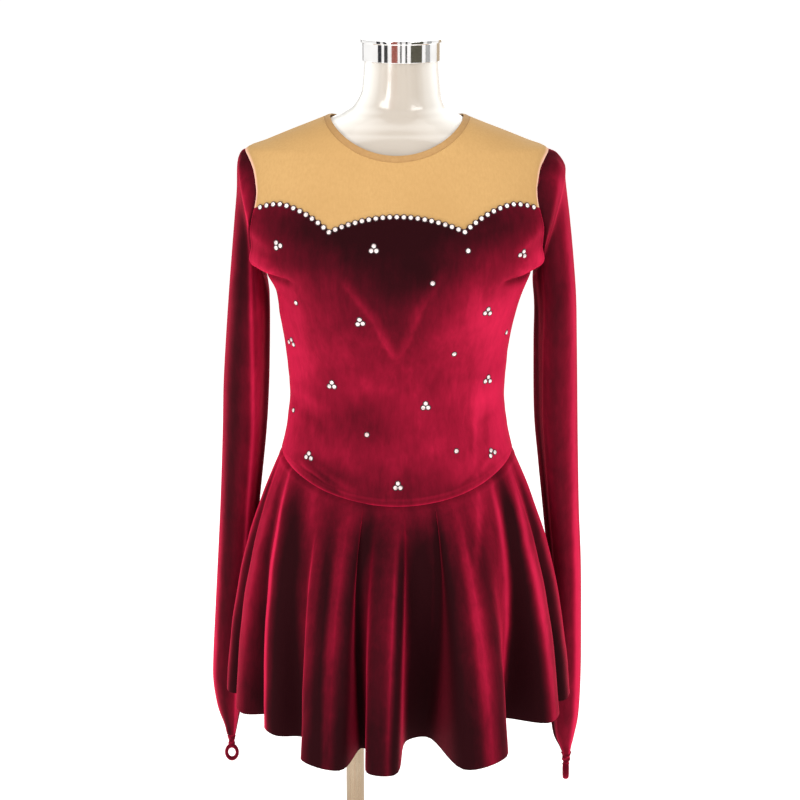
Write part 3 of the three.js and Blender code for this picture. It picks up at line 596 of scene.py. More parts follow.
# Patches of painted shade (below 0) and painted light (above 0): x and z of the middle, half the width
# and half the height there, amount.
FRONT_LIGHT_SHADE = [
    (0.000, 1.236, 0.120, 0.022, -0.40),
    (-0.010, 1.208, 0.080, 0.028, -0.28),
    (0.014, 1.180, 0.052, 0.026, -0.20),
    (0.002, 1.138, 0.024, 0.034, -0.14),
    (-0.120, 1.238, 0.036, 0.024, -0.14),
    (0.120, 1.238, 0.036, 0.024, -0.10),
    (-0.110, 1.196, 0.030, 0.014, -0.10),
    (0.150, 1.205, 0.016, 0.016, 0.10),
    (0.148, 1.174, 0.020, 0.006, -0.22),
    (0.158, 1.180, 0.009, 0.007, -0.30),
    (0.158, 1.200, 0.006, 0.014, 0.14),
    (-0.148, 1.176, 0.020, 0.006, -0.16),
    (-0.070, 1.156, 0.050, 0.016, -0.03),
    (0.092, 1.130, 0.040, 0.052, 0.27),
    (-0.105, 1.085, 0.030, 0.050, 0.06),
    (0.112, 1.020, 0.030, 0.060, 0.18),
    (-0.045, 1.052, 0.060, 0.045, 0.10),
    (0.050, 1.020, 0.055, 0.050, 0.20),
    (-0.088, 0.940, 0.030, 0.012, -0.12),
    (-0.105, 0.955, 0.022, 0.008, -0.10),
    (0.091, 0.985, 0.0035, 0.034, 0.12),
    (0.104, 0.995, 0.004, 0.040, -0.08),
    (0.010, 1.000, 0.016, 0.014, 0.10),
    (-0.040, 1.010, 0.020, 0.020, -0.06),
    (0.040, 1.040, 0.014, 0.018, -0.07),
    (-0.070, 0.970, 0.040, 0.024, 0.08),
    (0.030, 0.960, 0.080, 0.026, 0.14),
    (0.080, 0.950, 0.030, 0.024, 0.06),
]
BACK_LIGHT_SHADE = [
    (0.000, 1.180, 0.120, 0.050, -0.20),
    (-0.060, 1.080, 0.050, 0.060, 0.10),
    (0.070, 1.060, 0.050, 0.060, 0.12),
    (0.000, 1.030, 0.050, 0.050, 0.04),
    (0.000, 0.970, 0.090, 0.030, 0.10),
]


def turn_at(x, z):
    """The turn on the front half at which the figure lies x from the middle at height z."""
    share = np.minimum(1, np.abs(x) / figure_value("half", z))
    quarter = np.arccos(share ** (figure_value("power", z) / 2))
    return np.where(x >= 0, quarter, math.pi - quarter)


def sweetheart_height(x):
    """The height of the front's top edge: three lobes that meet at two cusps."""
    reach = np.abs(x)
    middle = CUSP_HEIGHT + (MIDDLE_LOBE_HEIGHT - CUSP_HEIGHT) * (1 - (reach / CUSP_REACH) ** 2)
    share = np.abs(reach - SIDE_LOBE_REACH) / (SIDE_LOBE_REACH - CUSP_REACH)
    side = SIDE_LOBE_HEIGHT - (SIDE_LOBE_HEIGHT - CUSP_HEIGHT) * share ** SIDE_LOBE_CURVE
    return np.where(reach < CUSP_REACH, middle, side)


CORNER_ANGLE = math.acos((2 * CORNER_HEIGHT - SHOULDER_TIP - UNDERARM) / (SHOULDER_TIP - UNDERARM))
CORNER_REACH = float(figure_point(*armhole_place(np.array(CORNER_ANGLE), 0))[..., 0])


def back_edge_height(x):
    """The height of the back's top edge, one shallow dip between the armholes."""
    return CORNER_HEIGHT - BACK_EDGE_DIP * (1 - (x / CORNER_REACH) ** 2)


def skirt_seam_height(turn, side):
    """The height of the seam to the skirt, which drops towards the middle."""
    return SKIRT_SEAM_SIDE - SKIRT_SEAM_DROP[side] * (1 - np.abs(np.cos(turn)) ** SKIRT_SEAM_CURVE)


def crease_height(x, z, creases):
    """How far the listed soft ridges and troughs lift the cloth at x and z."""
    lift = np.zeros_like(x)
    for x0, z0, x1, z1, width, height in creases:
        length = math.hypot(x1 - x0, z1 - z0)
        along = ((x - x0) * (x1 - x0) + (z - z0) * (z1 - z0)) / length
        off = ((x - x0) * (z1 - z0) - (z - z0) * (x1 - x0)) / length
        beyond = np.maximum(0, np.abs(along - length / 2) - length * CREASE_FLAT)
        lift += height * hill(off, width) * hill(beyond, length * CREASE_FADE)
    return lift


def painted_light_amount(x, z, patches):
    """The painted light and shade from the listed soft patches."""
    painted_shading = np.zeros_like(x)
    for x0, z0, half_width, half_height, amount in patches:
        painted_shading += amount * hill(x - x0, half_width) * hill(z - z0, half_height)
    return painted_shading


def uneven(x, z, size):
    """Gentle unevenness between about -1 and 1, the same each time; size is the width of its swells."""
    a, b = x / size, z / size
    waves = np.sin(2.1 * a + 1.3 * b + 0.7) + np.sin(-1.4 * a + 2.3 * b + 2.1)
    return (waves + np.sin(3.3 * a + 0.4 * b + 4.0) * 0.6 + np.sin(0.6 * a - 3.1 * b + 1.1) * 0.6) / 3.2


def seam_profile(distance):
    """How far the cloth dips at a seam and, beyond it, rises over the folded allowance."""
    dip = SEAM_SINK * hill(distance, SEAM_DIP_WIDTH)
    return dip - ALLOWANCE_RISE * hill(distance - ALLOWANCE_PLACE, ALLOWANCE_WIDTH)


def edge_sink(shares, columns, sizes):
    """How far a panel's edges are drawn in by their seams; sizes are its length down and across."""
    row = shares[:, None]
    column = np.arange(columns + 1)[None, :] / columns
    down = np.minimum(row, 1 - row) * sizes[0]
    across = np.minimum(column, 1 - column) * sizes[1]
    return seam_profile(np.minimum(down, across))


def store(piece, name, values):
    """Stores a value in each vertex, for the cloth's material to read."""
    attribute = piece.data.attributes.new(name, "FLOAT", "POINT")
    attribute.data.foreach_set("value", values.astype(np.float32))


def cloth_sheet(name, points, values, is_closed=False, thickness=CLOTH_THICKNESS):
    """A cloth piece: its outer face through the points, with its thickness inwards and its named values."""
    piece, row, column = grid_piece(name, points)
    for key, table in values.items():
        store(piece, key, table[row, column])
    if is_closed:
        weld(piece)
    modify(piece, "SOLIDIFY", thickness=thickness, offset=-1, use_even_offset=False)
    smooth(piece, 60)
    return piece


def mottle_group():
    """A node group for uneven cloth: a value about 0 from patches and finer streaks."""
    names = ("Patch Size", "Streak Size", "Patches", "Streaks")
    group, given = new_group("mottle", {name: "Float" for name in names}, ("Value",))
    swings = []
    for squash, size, amount, detail in (((1, 1, 0.6), "Patch Size", "Patches", 5.0),
                                         ((1, 1, 0.22), "Streak Size", "Streaks", 3.0)):
        numbers = {"Vector": object_point(group, squash), "Scale": given[size], "Detail": detail,
                   "Roughness": 0.62, "Distortion": 0.5}
        noise = node(group, "ShaderNodeTexNoise", numbers).outputs["Fac"]
        swing = range_of(group, noise, 0.25, 0.75, -1.0, 1.0)
        swings.append(node(group, "ShaderNodeMath", {0: swing, 1: given[amount]}, operation="MULTIPLY"))
    pair = {0: swings[0].outputs[0], 1: swings[1].outputs[0]}
    total = node(group, "ShaderNodeMath", pair, operation="ADD")
    node(group, "NodeGroupOutput", {"Value": total.outputs[0]})
    return group


mottle = mottle_group()


def mottled(tree, patch_size, streak_size, patches, streaks):
    """The mottle group with these values; the amounts are how far it swings either way."""
    values = {"Patch Size": patch_size, "Streak Size": streak_size, "Patches": patches, "Streaks": streaks}
    return node(tree, "ShaderNodeGroup", values, node_tree=mottle).outputs["Value"]


def velvet_material():
    """Burgundy stretch velvet, its colour painted with light and shade: dark to bright red from the stored
    value, with a painted sheen and random patches.
    """
    made, tree, principled = shader(
        "velvet", Roughness=0.8, Sheen_Weight=0.7, Sheen_Roughness=0.3, Sheen_Tint=(1.0, 0.030, 0.10, 1),
        Specular_IOR_Level=0.04)
    lie = node(tree, "ShaderNodeAttribute", attribute_name="painted_shading").outputs["Fac"]
    pile = node(tree, "ShaderNodeTexNoise", {"Vector": object_point(tree), "Scale": 1500.0, "Detail": 2.0})
    # A painted sheen: the colour turns brighter where the surface turns away from the camera, darker where
    # it faces it.
    turned_away = node(tree, "ShaderNodeLayerWeight", {"Blend": 0.5}).outputs["Facing"]
    sheen_lie = range_of(tree, turned_away, 0.0, 1.0, -0.12, 0.38)
    brushed = mottled(tree, 38.0, 170.0, 0.066, 0.044)
    mottle_and_shading = node(tree, "ShaderNodeMath", {0: brushed, 1: lie}, operation="ADD").outputs[0]
    total = node(tree, "ShaderNodeMath", {0: mottle_and_shading, 1: sheen_lie}, operation="ADD").outputs[0]
    ramp = node(tree, "ShaderNodeValToRGB", {"Fac": total})
    ramp.color_ramp.interpolation = "B_SPLINE"
    stops = ramp.color_ramp.elements
    stops[0].color, stops[1].color = VELVET_BLACK, VELVET_BRIGHT
    stops.new(0.33).color = VELVET_DEEP
    stops.new(0.66).color = VELVET_RED
    tree.links.new(ramp.outputs["Color"], principled.inputs["Base Color"])
    bump(tree, principled, pile.outputs["Fac"], 0.35, 0.0004)
    return made


velvet = velvet_material()
armhole_angles = np.linspace(math.pi, CORNER_ANGLE, ARMHOLE_COLUMNS + 1)
edge_reaches = np.concatenate([
    np.linspace(CORNER_REACH, CUSP_REACH, LOBE_COLUMNS + 1)[1:],
    np.linspace(CUSP_REACH, 0, LOBE_COLUMNS + 1)[1:],
])


def mirror_places(turn, z):
    """Places of the right half continued over the middle to the left side."""
    return np.concatenate([turn, (math.pi - turn[:-1])[::-1]]), np.concatenate([z, z[:-1][::-1]])


def bodice_panel(side):
    """Turns and heights of a bodice panel's grid, from the skirt's seam up."""
    sign = 1 if side == "front" else -1
    top_height = sweetheart_height if side == "front" else back_edge_height
    arm_turn, arm_height = armhole_place(sign * armhole_angles, SEAM_GAP / 2)
    edge_height = top_height(edge_reaches) - SEAM_GAP / 2
    turn = np.concatenate([np.abs(arm_turn), turn_at(edge_reaches, edge_height)])
    head_turn, head_height = mirror_places(turn, np.concatenate([arm_height, edge_height]))
    even = np.linspace(0, math.pi, len(head_turn))
    foot_turn = head_turn + (even - head_turn) * FOOT_EVENNESS
    foot_height = skirt_seam_height(foot_turn, side)
    share = BODICE_SHARES[:, None]
    turn = np.clip(foot_turn + (head_turn - foot_turn) * share, SEAM_TURN, math.pi - SEAM_TURN)
    return sign * turn, foot_height + (head_height - foot_height) * share


def bodice_piece(side, creases, patches):
    """A bodice panel over the form, with its creases and its patches of painted light and shade."""
    turn, z = bodice_panel(side)
    plain = cloth_point(turn, z, np.full(turn.shape, EASE + WALL))
    x = plain[..., 0]
    swell = CLOTH_SWELL * uneven(x, z, 0.03) + CLOTH_RIPPLE * uneven(x, z, 0.009)
    lift = crease_height(x, z, creases) + swell
    sink = edge_sink(BODICE_SHARES, turn.shape[1] - 1, (BODICE_LENGTH, BODICE_WIDTH))
    points = cloth_point(turn, z, EASE + WALL + lift - sink)
    # Painted light and shade in the colour: the listed patches, painted highlights on the creases' crests
    # and painted shade in their troughs, and painted light towards the sides below SIDE_LIGHT_TOP.
    to_side = share01((np.abs(x) - SIDE_LIGHT_START) / SIDE_LIGHT_WIDTH)
    to_side = to_side * share01((SIDE_LIGHT_TOP - z) / SIDE_LIGHT_FADE)
    painted_shading = VELVET_TONE + painted_light_amount(x, z, patches) + PILE_DRIFT * uneven(x, z, 0.022)
    painted_shading = painted_shading + CREST_LIGHT * np.clip(lift, -CREST_LIMIT, CREST_LIMIT) + SIDE_LIGHT * to_side
    # Two painted highlight lines along the seam to the skirt.
    from_seam = BODICE_SHARES[:, None] * BODICE_LENGTH
    second_highlight = hill(from_seam - SECOND_HIGHLIGHT_PLACE, SEAM_HIGHLIGHT_WIDTH) * (0.6 + 0.4 * uneven(x, z, 0.05))
    painted_shading = painted_shading + SEAM_HIGHLIGHT * hill(from_seam, SEAM_HIGHLIGHT_WIDTH) + SECOND_HIGHLIGHT * second_highlight
    piece = cloth_sheet(f"velvet_bodice_{side}", points, {"painted_shading": painted_shading})
    finish_piece(piece, velvet, "velvet", f"bodice_{side}")
    return piece


bodice_front = bodice_piece("front", FRONT_CREASES, FRONT_LIGHT_SHADE)
bodice_back = bodice_piece("back", BACK_CREASES, BACK_LIGHT_SHADE)


# Yoke: a front and a back panel of fine golden-nude power mesh, stretched over the shoulders between
# the velvet's top edge, the armholes and the neckline.

NECK_HALF_WIDTH = 0.076
NECK_DROP = {"front": 0.037, "back": 0.014}
NECK_SPREAD = 0.7
NECK_CURVE = 1.6
BINDING_WIDTH = 0.007
YOKE_ROWS = 48
RIDGE_COLUMNS = 24
NECK_COLUMNS = 44
RIDGE_TURN = 0.004
MESH_THICKNESS = 0.0006
MESH_COLOUR = (0.48, 0.285, 0.106, 1)
MESH_SHADE = (0.43, 0.248, 0.088, 1)
MESH_SEAM = (0.86, 0.50, 0.38, 1)
MESH_RIBS = (420, 420, 160)
SEAM_SHOWS = 0.0022
YOKE_SWELL = 0.0003
YOKE_SIZE = (0.09, 0.34)
YOKE_SINK = 0.5


def shoulder_height(x):
    """The height of the shoulder line x from the middle."""
    fine, half = figure_columns["half"]
    top = fine >= SHOULDER_TIP
    return np.interp(-np.asarray(x), -half[top], fine[top])


def neckline_place(angle, inset, side):
    """Turn and height on the neckline, inset outwards from its inner edge."""
    reach = NECK_HALF_WIDTH + inset
    x = reach * np.cos(angle)
    drop = NECK_DROP[side] + inset * NECK_SPREAD
    z = shoulder_height(reach) - drop * np.abs(np.sin(angle)) ** NECK_CURVE
    return turn_at(x, z), z


def yoke_panel(side):
    """Turns and heights of a yoke panel's grid, from the velvet's top edge up."""
    sign = 1 if side == "front" else -1
    low_height = sweetheart_height if side == "front" else back_edge_height
    tip = float(figure_point(np.array(0.0), np.array(SHOULDER_TIP))[0]) - SEAM_GAP
    ridge_x = np.linspace(tip, NECK_HALF_WIDTH + BINDING_WIDTH + SEAM_GAP, RIDGE_COLUMNS + 1)
    angle = np.linspace(0, math.pi / 2, NECK_COLUMNS + 1)[1:]
    neck_turn, neck_height = neckline_place(angle, BINDING_WIDTH + SEAM_GAP, side)
    neck_x = figure_point(neck_turn, neck_height)[..., 0]
    head_x = np.concatenate([ridge_x, neck_x])
    head_height = np.concatenate([shoulder_height(ridge_x), neck_height])
    corner_turn, corner_height = armhole_place(np.array(sign * CORNER_ANGLE), SEAM_GAP / 2)
    corner_x = float(figure_point(np.abs(corner_turn), corner_height)[0])
    foot_x = np.concatenate([[corner_x], edge_reaches])
    foot_height = low_height(foot_x) + SEAM_GAP / 2
    turns, heights = [], []
    for share in np.linspace(0, 1, YOKE_ROWS + 1):
        arm_angle = CORNER_ANGLE * (1 - share)
        climb = (math.cos(arm_angle) - math.cos(CORNER_ANGLE)) / (1 - math.cos(CORNER_ANGLE))
        edge_turn, edge_height = armhole_place(np.array(sign * arm_angle), SEAM_GAP / 2)
        edge_x = float(figure_point(np.abs(edge_turn), edge_height)[0])
        bow = edge_x - (foot_x[0] + (head_x[0] - foot_x[0]) * climb)
        z = foot_height + (head_height - foot_height) * climb
        x = foot_x + (head_x - foot_x) * climb + bow * (foot_x / corner_x) ** 3
        turn = turn_at(x, z)
        turn[0], z[0] = abs(float(edge_turn)), min(float(edge_height), SHOULDER_TIP)
        full_turn, full_height = mirror_places(turn, z)
        turns.append(np.clip(full_turn, RIDGE_TURN, math.pi - RIDGE_TURN))
        heights.append(full_height)
    return sign * np.array(turns), np.array(heights)


def knit_group():
    """A node group for the height of fine power mesh: tiny holes between looped threads."""
    group, given = new_group("knit", {"Holes": "Float"}, ("Height",))
    holes = node(group, "ShaderNodeTexVoronoi", {"Vector": object_point(group), "Scale": given["Holes"]})
    node(group, "NodeGroupOutput", {"Height": holes.outputs["Distance"]})
    return group


knit = knit_group()


def mesh_material(name, base, shade, ribs):
    """Fine power mesh, matt, and paler where a seam lies behind it; ribs is how closely its rows lie."""
    made, tree, principled = shader(name, Roughness=0.7, Sheen_Weight=0.15, Sheen_Roughness=0.4,
                                    Sheen_Tint=(1.0, 0.85, 0.6, 1), Specular_IOR_Level=0.2)
    height = node(tree, "ShaderNodeGroup", {"Holes": 900.0}, node_tree=knit).outputs["Height"]
    worked = node(tree, "ShaderNodeGroup", {"Lines": ribs, "Clouds": 9.0}, node_tree=grain).outputs["Shade"]
    colour = colour_mix(tree, range_of(tree, worked, 0.12, 0.42), shade, base)
    seamed = node(tree, "ShaderNodeAttribute", attribute_name="seamed").outputs["Fac"]
    tree.links.new(colour_mix(tree, seamed, colour, MESH_SEAM), principled.inputs["Base Color"])
    bump(tree, principled, height, 0.3, 0.0003)
    return made


power_mesh = mesh_material("power_mesh", MESH_COLOUR, MESH_SHADE, MESH_RIBS)
for side, flat, area in (("front", (0.36, 0.15), 0.034), ("back", (0.36, 0.17), 0.043)):
    turn, z = yoke_panel(side)
    x = figure_point(turn, z)[..., 0]
    lift = YOKE_SWELL * uneven(x, z, 0.04)
    sink = edge_sink(np.linspace(0, 1, YOKE_ROWS + 1), turn.shape[1] - 1, YOKE_SIZE) * YOKE_SINK
    points = cloth_point(turn, z, EASE + WALL + lift - sink)
    row, column = np.indices(x.shape)
    from_side = np.minimum(column, x.shape[1] - 1 - column) * (x.max() - x.min()) / x.shape[1]
    from_edge = np.where(from_side < from_side.max() / 3, from_side, 1)
    seamed = share01(1 - from_edge / SEAM_SHOWS)
    yoke = cloth_sheet(f"mesh_yoke_{side}", points, {"seamed": seamed}, thickness=MESH_THICKNESS)
    finish_piece(yoke, power_mesh, "mesh", f"yoke_{side}")


# Neck binding: a strip of the same mesh, folded over the raw neckline and stitched down, so it is
# thicker, darker and slightly rounded.

BINDING_PROUD = 0.0006
BINDING_THICKNESS = 0.0018
BINDING_ROWS = 10
BINDING_STEPS = 220
BINDING_COLOUR = (0.40, 0.230, 0.088, 1)
BINDING_SHADE = (0.34, 0.188, 0.069, 1)
BINDING_RIBS = (260, 260, 260)

angle = np.linspace(0, 2 * math.pi, BINDING_STEPS + 1)
rows = []
for share in np.linspace(0, 1, BINDING_ROWS + 1):
    inset = BINDING_WIDTH * share
    front_turn, front_height = neckline_place(angle, inset, "front")
    back_turn, back_height = neckline_place(angle, inset, "back")
    is_front = np.sin(angle) >= 0
    turn = np.where(is_front, front_turn, -back_turn)
    height = np.where(is_front, front_height, back_height)
    round_over = BINDING_PROUD * (1 - abs(2 * share - 1) ** 3)
    rows.append(cloth_point(turn, height, np.full(turn.shape, EASE + WALL + round_over)))
points = np.array(rows)
points[:, -1] = points[:, 0]
binding_material = mesh_material("bound_mesh", BINDING_COLOUR, BINDING_SHADE, BINDING_RIBS)
binding = cloth_sheet("neckline_binding", points, {}, is_closed=True, thickness=BINDING_THICKNESS)
finish_piece(binding, binding_material, "binding", "neck_binding")


# Skirt: a full circle of velvet sewn to the dropped seam. It stands away in soft flutes, uneven in
# depth and spacing, whose hollows are dark and whose crowns catch the light; painted light and shade in
# its colour add to both.

HEM_FRONT = 0.620
HEM_RISE_SIDE = 0.022
HULL_SIDE = 0.190
HULL_FRONT = 0.168
HULL_BACK = 0.172
HULL_FLARE = 2.6
FOLD_FLARE = 1.15
SKIRT_ROWS = 96
STEPS_PER_FLUTE = 30
ROW_SPREAD = 1.15
LEAN_FADE = 1.6
SKIRT_RIPPLE = 0.0006
RIPPLE_RADIUS = 0.19
# Seen from above, from +X by the front (90) and the left (180) to the back (270): the crown's place, half
# its width and its reach, the next hollow's place, half its width and its reach, and how much further
# round the flute begins at the seam.
FLUTES = [
    (6, 6, 0.210, 16.5, 1, 0.182, 0),
    (25, 4, 0.209, 36, 2, 0.150, -2),
    (61, 7, 0.216, 78, 6, 0.114, -4),
    (95, 4, 0.207, 105.5, 1.5, 0.146, -3),
    (115, 6.5, 0.211, 129.5, 2.5, 0.168, 8),
    (142, 3.5, 0.192, 151, 1.5, 0.170, 12),
    (161, 4, 0.202, 169.5, 1.5, 0.182, 4),
    (178, 4, 0.208, 195, 4, 0.158, 0),
    (214, 5, 0.197, 227, 2, 0.148, -7),
    (241, 6, 0.202, 255, 2, 0.142, -8),
    (269, 5, 0.205, 283, 3, 0.138, 0),
    (299, 6, 0.203, 313, 2, 0.150, 8),
    (327, 5, 0.194, 345, 4, 0.160, 7),
]
# Bands of painted light (above 0) and painted shade (below 0) down the skirt's flutes: the place and half
# the width at the seam, the same from BAND_SETTLES of the way down, and the amount at both.
SKIRT_TONE = 0.43
SKIRT_DRIFT = 0.025
BAND_SETTLES = 0.32
SEAM_LIGHT = 0.12
SEAM_LIGHT_END = 1 / 7
SEAM_SHADOW = 0.12
SEAM_SHADOW_END = 0.02
HEM_SHADOW = 0.22
HEM_SHADOW_START = 0.50
HEM_SHADOW_FULL = 0.95
SKIRT_SHADING_BANDS = [
    (4, 4, 4, 4, 0.06, 0.02),
    (14, 3, 13, 3, -0.10, -0.20),
    (21, 2.4, 27, 2.4, 0.22, 0.36),
    (29.5, 3.2, 31.6, 1.5, -0.52, -0.52),
    (36.5, 1.8, 36, 2.2, 0.46, 0.30),
    (44, 4, 44, 3, 0.16, -0.10),
    (52, 5, 52, 3.5, 0.18, -0.22),
    (60.3, 2, 60.8, 1.8, 0.14, 0.38),
    (46, 2.5, 58, 1.8, 0.26, 0.14),
    (66, 4, 67, 2.5, 0.02, -0.10),
    (70.5, 2, 70.3, 1.5, -0.30, -0.56),
    (79, 9, 79.5, 7.5, -0.08, -0.54),
    (90, 2, 90, 1.8, 0.04, -0.40),
    (91.5, 1.5, 92.9, 1.2, 0.06, 0.30),
    (99, 3.5, 100.5, 3.5, -0.16, -0.18),
    (104, 3, 107, 2, -0.42, -0.36),
    (112, 2.8, 112.4, 1.5, 0.12, 0.24),
    (118, 4, 116, 2.2, -0.08, -0.34),
    (128.5, 2, 127.5, 2.2, 0.28, -0.08),
    (137.5, 4.2, 135.8, 5, -0.30, -0.50),
    (146.2, 1.6, 144.2, 1.5, 0.42, 0.50),
    (152, 2, 153, 1.6, -0.10, -0.20),
    (158, 4, 158, 3.5, 0.04, 0.10),
    (167, 1.4, 167, 1.4, 0.18, 0.20),
    (172, 2.5, 172, 2.5, -0.12, -0.12),
    (178, 3, 178, 3, 0.12, 0.10),
    (195, 7, 195, 7, -0.32, -0.38),
    (208, 1.5, 208, 1.5, 0.22, 0.26),
    (227, 6, 227, 6, -0.34, -0.42),
    (235, 1.5, 235, 1.5, 0.24, 0.28),
    (247, 2, 247, 2, 0.12, 0.16),
    (255, 5, 255, 5, -0.36, -0.46),
    (263.5, 1.5, 263.5, 1.5, 0.24, 0.30),
    (283, 7, 283, 7, -0.38, -0.48),
    (293, 1.5, 293, 1.5, 0.24, 0.30),
    (305, 2, 305, 2, 0.12, 0.14),
    (313, 5, 313, 5, -0.34, -0.44),
    (321.5, 1.5, 321.5, 1.5, 0.22, 0.26),
    (345, 6, 345, 6, -0.30, -0.36),
]


def closed_curve(knots, count):
    """Points of a smooth closed curve through the knots."""
    total = len(knots)
    at = np.linspace(0, total, count, endpoint=False)
    index = np.floor(at).astype(int)
    weight = (at - index)[:, None]
    p0, p1, p2, p3 = (knots[(index + k) % total] for k in (-1, 0, 1, 2))
    steps = (p1 - p0, p2 - p1, p3 - p2)
    d0, d1, d2 = (np.linalg.norm(step, axis=1, keepdims=True) ** 0.5 for step in steps)
    slope_in = ((p1 - p0) / d0 - (p2 - p0) / (d0 + d1) + (p2 - p1) / d1) * d1
    slope_out = ((p2 - p1) / d1 - (p3 - p1) / (d1 + d2) + (p3 - p2) / d2) * d1
    t2, t3 = weight ** 2, weight ** 3
    return (p1 * (2 * t3 - 3 * t2 + 1) + slope_in * (t3 - 2 * t2 + weight)
            + p2 * (3 * t2 - 2 * t3) + slope_out * (t3 - t2))


def turned_from(angle, place):
    """How far round an angle lies from a place, in degrees from -180 to 180."""
    return (angle - place + 540) % 360 - 180


def oval_reach(angle, side, depth, power):
    """How far an oval reaches in a direction; a power above 2 makes it squarer."""
    across = np.abs(np.cos(angle)) / side
    along = np.abs(np.sin(angle)) / depth
    return (across ** power + along ** power) ** (-1 / power)


def skirt_seam(angle):
    """Reach and height of the skirt's seam in a direction."""
    is_front = np.sin(angle) >= 0
    z = np.full(angle.shape, SKIRT_SEAM_SIDE)
    for _ in range(4):
        half = figure_value("half", z) + EASE + WALL
        depth = np.where(is_front, figure_value("front", z), figure_value("back", z)) + EASE + WALL
        power = figure_value("power", z)
        reach = oval_reach(angle, half, depth, power)
        across = np.minimum(1, np.abs(reach * np.cos(angle)) / half) ** (power / 2)
        turn = np.arccos(across)
        z = np.where(is_front, skirt_seam_height(turn, "front"), skirt_seam_height(turn, "back"))
    return reach, z - SEAM_GAP


knots = []
for crown, crown_half, crown_reach, hollow, hollow_half, hollow_reach, _ in FLUTES:
    for place, reach in ((crown - crown_half, crown_reach), (crown + crown_half, crown_reach),
                         (hollow - hollow_half, hollow_reach), (hollow + hollow_half, hollow_reach)):
        knots.append((reach * math.cos(math.radians(place)), reach * math.sin(math.radians(place))))
hem = closed_curve(np.array(knots), len(FLUTES) * STEPS_PER_FLUTE)
hem = np.vstack([hem, hem[:1]])
hem_angle = np.arctan2(hem[:, 1], hem[:, 0])
hem_reach = np.hypot(hem[:, 0], hem[:, 1])
crowns, leans = [flute[0] for flute in FLUTES], [flute[-1] for flute in FLUTES]
lean = np.radians(np.interp(np.degrees(hem_angle) % 360, crowns, leans, period=360))
share = (np.linspace(0, 1, SKIRT_ROWS + 1) ** ROW_SPREAD)[:, None]
angle = hem_angle + lean * (1 - share) ** LEAN_FADE
seam_reach, seam_height = skirt_seam(angle)
hull = oval_reach(angle, HULL_SIDE, np.where(np.sin(angle) >= 0, HULL_FRONT, HULL_BACK), 2)
away = seam_reach + (hull - seam_reach) * (1 - (1 - share) ** HULL_FLARE)
away = away + (hem_reach - hull) * share ** FOLD_FLARE
hem_height = HEM_FRONT + HEM_RISE_SIDE * np.cos(angle) ** 2
skirt_z = seam_height + (hem_height - seam_height) * share
ripple = SKIRT_RIPPLE * uneven(angle * RIPPLE_RADIUS, skirt_z, 0.028) * np.minimum(1, share * 6)
away = away + ripple - seam_profile((seam_height - skirt_z) * 1.02)
points = np.stack([away * np.cos(angle), -away * np.sin(angle), skirt_z], axis=-1)
points[:, -1] = points[:, 0]
# Painted light and shade in the skirt's colour: a base tone with random drift, a painted light band below
# the seam with a painted shadow right at it, painted shade towards the hem, and the painted bands down the
# flutes.
painted_shading = SKIRT_TONE + SKIRT_DRIFT * uneven(points[..., 0], skirt_z, 0.03)
painted_shading = painted_shading + SEAM_LIGHT * share01(1 - share / SEAM_LIGHT_END)
painted_shading = painted_shading - SEAM_SHADOW * share01(1 - share / SEAM_SHADOW_END)
painted_shading = painted_shading - HEM_SHADOW * share01((share - HEM_SHADOW_START) / (HEM_SHADOW_FULL - HEM_SHADOW_START))
settled = share01(share / BAND_SETTLES)
settled = settled * settled * (3 - 2 * settled)
for top_place, top_half, low_place, low_half, top_amount, low_amount in SKIRT_SHADING_BANDS:
    place = top_place + (low_place - top_place) * settled
    half = top_half + (low_half - top_half) * settled
    amount = (top_amount + (low_amount - top_amount) * settled) * share01(0.25 + share * 5)
    painted_shading = painted_shading + amount * hill(turned_from(np.degrees(hem_angle)[None, :], place), half)
skirt = cloth_sheet("velvet_skirt", points[::-1], {"painted_shading": painted_shading[::-1]}, is_closed=True)
finish_piece(skirt, velvet, "velvet", "skirt")


# Sleeves: long tubes of velvet set into the armholes. They hang empty, narrow to a point over the back
# of the hand, and are open there on the palm's side.

